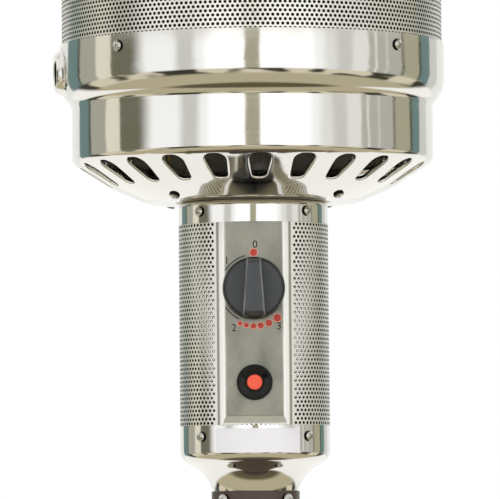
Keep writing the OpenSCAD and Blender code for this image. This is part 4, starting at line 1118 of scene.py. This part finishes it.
def studio_world():
    """White behind the heater, and soft boxes and screens round it for the metal to show."""
    world = bpy.data.worlds.new("studio")
    bpy.context.scene.world = world
    world.use_nodes = True
    world.node_tree.nodes.clear()
    graph = Graph(world.node_tree)
    mix, calc = graph.mix, graph.calc

    def ramp(source, start, end):
        return graph.spread(source, start, end, kind="SMOOTHSTEP")

    direction = graph.add("TexCoord").outputs["Generated"]
    x, y, height = graph.add("SeparateXYZ", {0: direction}).outputs
    ripple = graph.add("TexNoise", {"Vector": direction, "Scale": 14}).outputs["Fac"]
    sway = calc("MULTIPLY_ADD", ripple, 0.06, -0.03)
    azimuth = calc("ADD", calc("ARCTAN2", x, calc("MULTIPLY", y, -1)), sway)
    screens = STUDIO[0][1]
    for start, colour, *soft in STUDIO[1:]:
        edge = soft[0] if soft else HARD_EDGE
        screens = mix(screens, colour, ramp(azimuth, math.radians(start - edge), math.radians(start + edge)))
    rise = calc("MULTIPLY", calc("MAXIMUM", calc("ADD", height, 0.8), 0.0), 0.85)
    front = ramp(calc("SUBTRACT", y, rise), 0.3, 0.18)
    patches = graph.add("TexNoise", {"Vector": direction, "Scale": 2.6, "Detail": 1}).outputs["Fac"]
    clutter = mix(screen(58, 56, 46), screen(206, 197, 176), ramp(patches, 0.44, 0.56))
    near = mix(screen(92, 82, 62), screen(174, 165, 138), ramp(height, -0.93, -0.84))
    ground = mix(screen(236, 235, 231), mix(near, clutter, ramp(height, -0.52, -0.42)), front)
    round_about = mix(ground, screens, ramp(height, -0.27, -0.19))
    wall = mix(round_about, screen(206, 204, 198), ramp(height, 0.12, 0.17))
    overhead = mix(screen(230, 229, 225), screen(184, 184, 181), ramp(height, 0.4, 0.95))
    ceiling = mix(wall, overhead, ramp(height, 0.2, 0.32))
    seen = graph.add("LightPath").outputs["Is Camera Ray"]
    glow = graph.add("Background", {"Color": mix(ceiling, STAGE_WHITE, seen)})
    graph.add("OutputWorld", {"Surface": glow.outputs[0]})


def area_lamp(name, place, aim, size, watts):
    """A soft box that shines on a point."""
    light = bpy.data.lights.new(name, "AREA")
    light.size, light.energy = size, watts
    lamp = bpy.data.objects.new(name, light)
    lamp.visible_glossy = False
    lamp.location = place
    lamp.rotation_euler = (Vector(aim) - Vector(place)).to_track_quat("-Z", "Y").to_euler()
    bpy.context.scene.collection.objects.link(lamp)


def fade_to_white(finish, near, far):
    """Blends a stage surface into the white behind it, with its distance from the heater."""
    distance = finish.vector("LENGTH", finish.place)["Value"]
    spread = finish.spread(distance, near, far, kind="SMOOTHSTEP")
    seen = finish.calc("MULTIPLY", spread, finish.add("LightPath").outputs["Is Camera Ray"])
    white = finish.add("Emission", {"Color": STAGE_WHITE})
    blend = finish.add("MixShader", {0: seen, 1: finish.shader.outputs[0], 2: white.outputs[0]})
    finish.feed(finish.tree.nodes["Material Output"].inputs["Surface"], blend.outputs[0])


def floor():
    """A pale round floor that keeps the heater's shadow."""
    radius, thickness = 3.2, 0.02
    outline = [(0, 0), (radius, 0), (radius, -thickness), (0, -thickness)]
    verts, faces = spin(outline, 128, closed=False)
    finish = Finish("floor_paper")
    finish.colour(tone(248, 247, 245), tone(244, 243, 240), finish.noise(3))
    finish.roughness(0.7, 0.8, finish.noise(6))
    fade_to_white(finish, near=0.5, far=2.8)
    piece = make_piece("floor", verts, faces, finish.material)
    piece.location.z = cad_box[0].z - 0.5 * MM
    piece.visible_glossy = False


def camera():
    """A long lens at the height of the pole's top, looking a little up at the head."""
    distance = 3.1
    place = Vector((0, -distance, POLE_TOP))
    aim = Vector((-2.4 * MM, 0, POLE_TOP + 165 * MM))
    lens = bpy.data.cameras.new("camera")
    lens.lens, lens.sensor_width = 327.2, 36
    lens.clip_start, lens.clip_end = 0.1, 100
    holder = bpy.data.objects.new("camera", lens)
    turn = (aim - place).to_track_quat("-Z", "Y").to_matrix()
    roll = Matrix.Rotation(math.radians(-0.5), 3, "Z")
    holder.matrix_world = Matrix.Translation(place) @ (turn @ roll).to_4x4()
    bpy.context.scene.collection.objects.link(holder)
    bpy.context.scene.camera = holder


studio_world()
floor()
area_lamp("key", (-1.6, -2.2, 3.2), aim=(0, 0, 1.6), size=1.4, watts=42)
area_lamp("fill", (1.9, -1.8, 2.4), aim=(0, 0, 1.4), size=1.6, watts=26)
camera()
bpy.context.scene.view_settings.view_transform = "Standard"
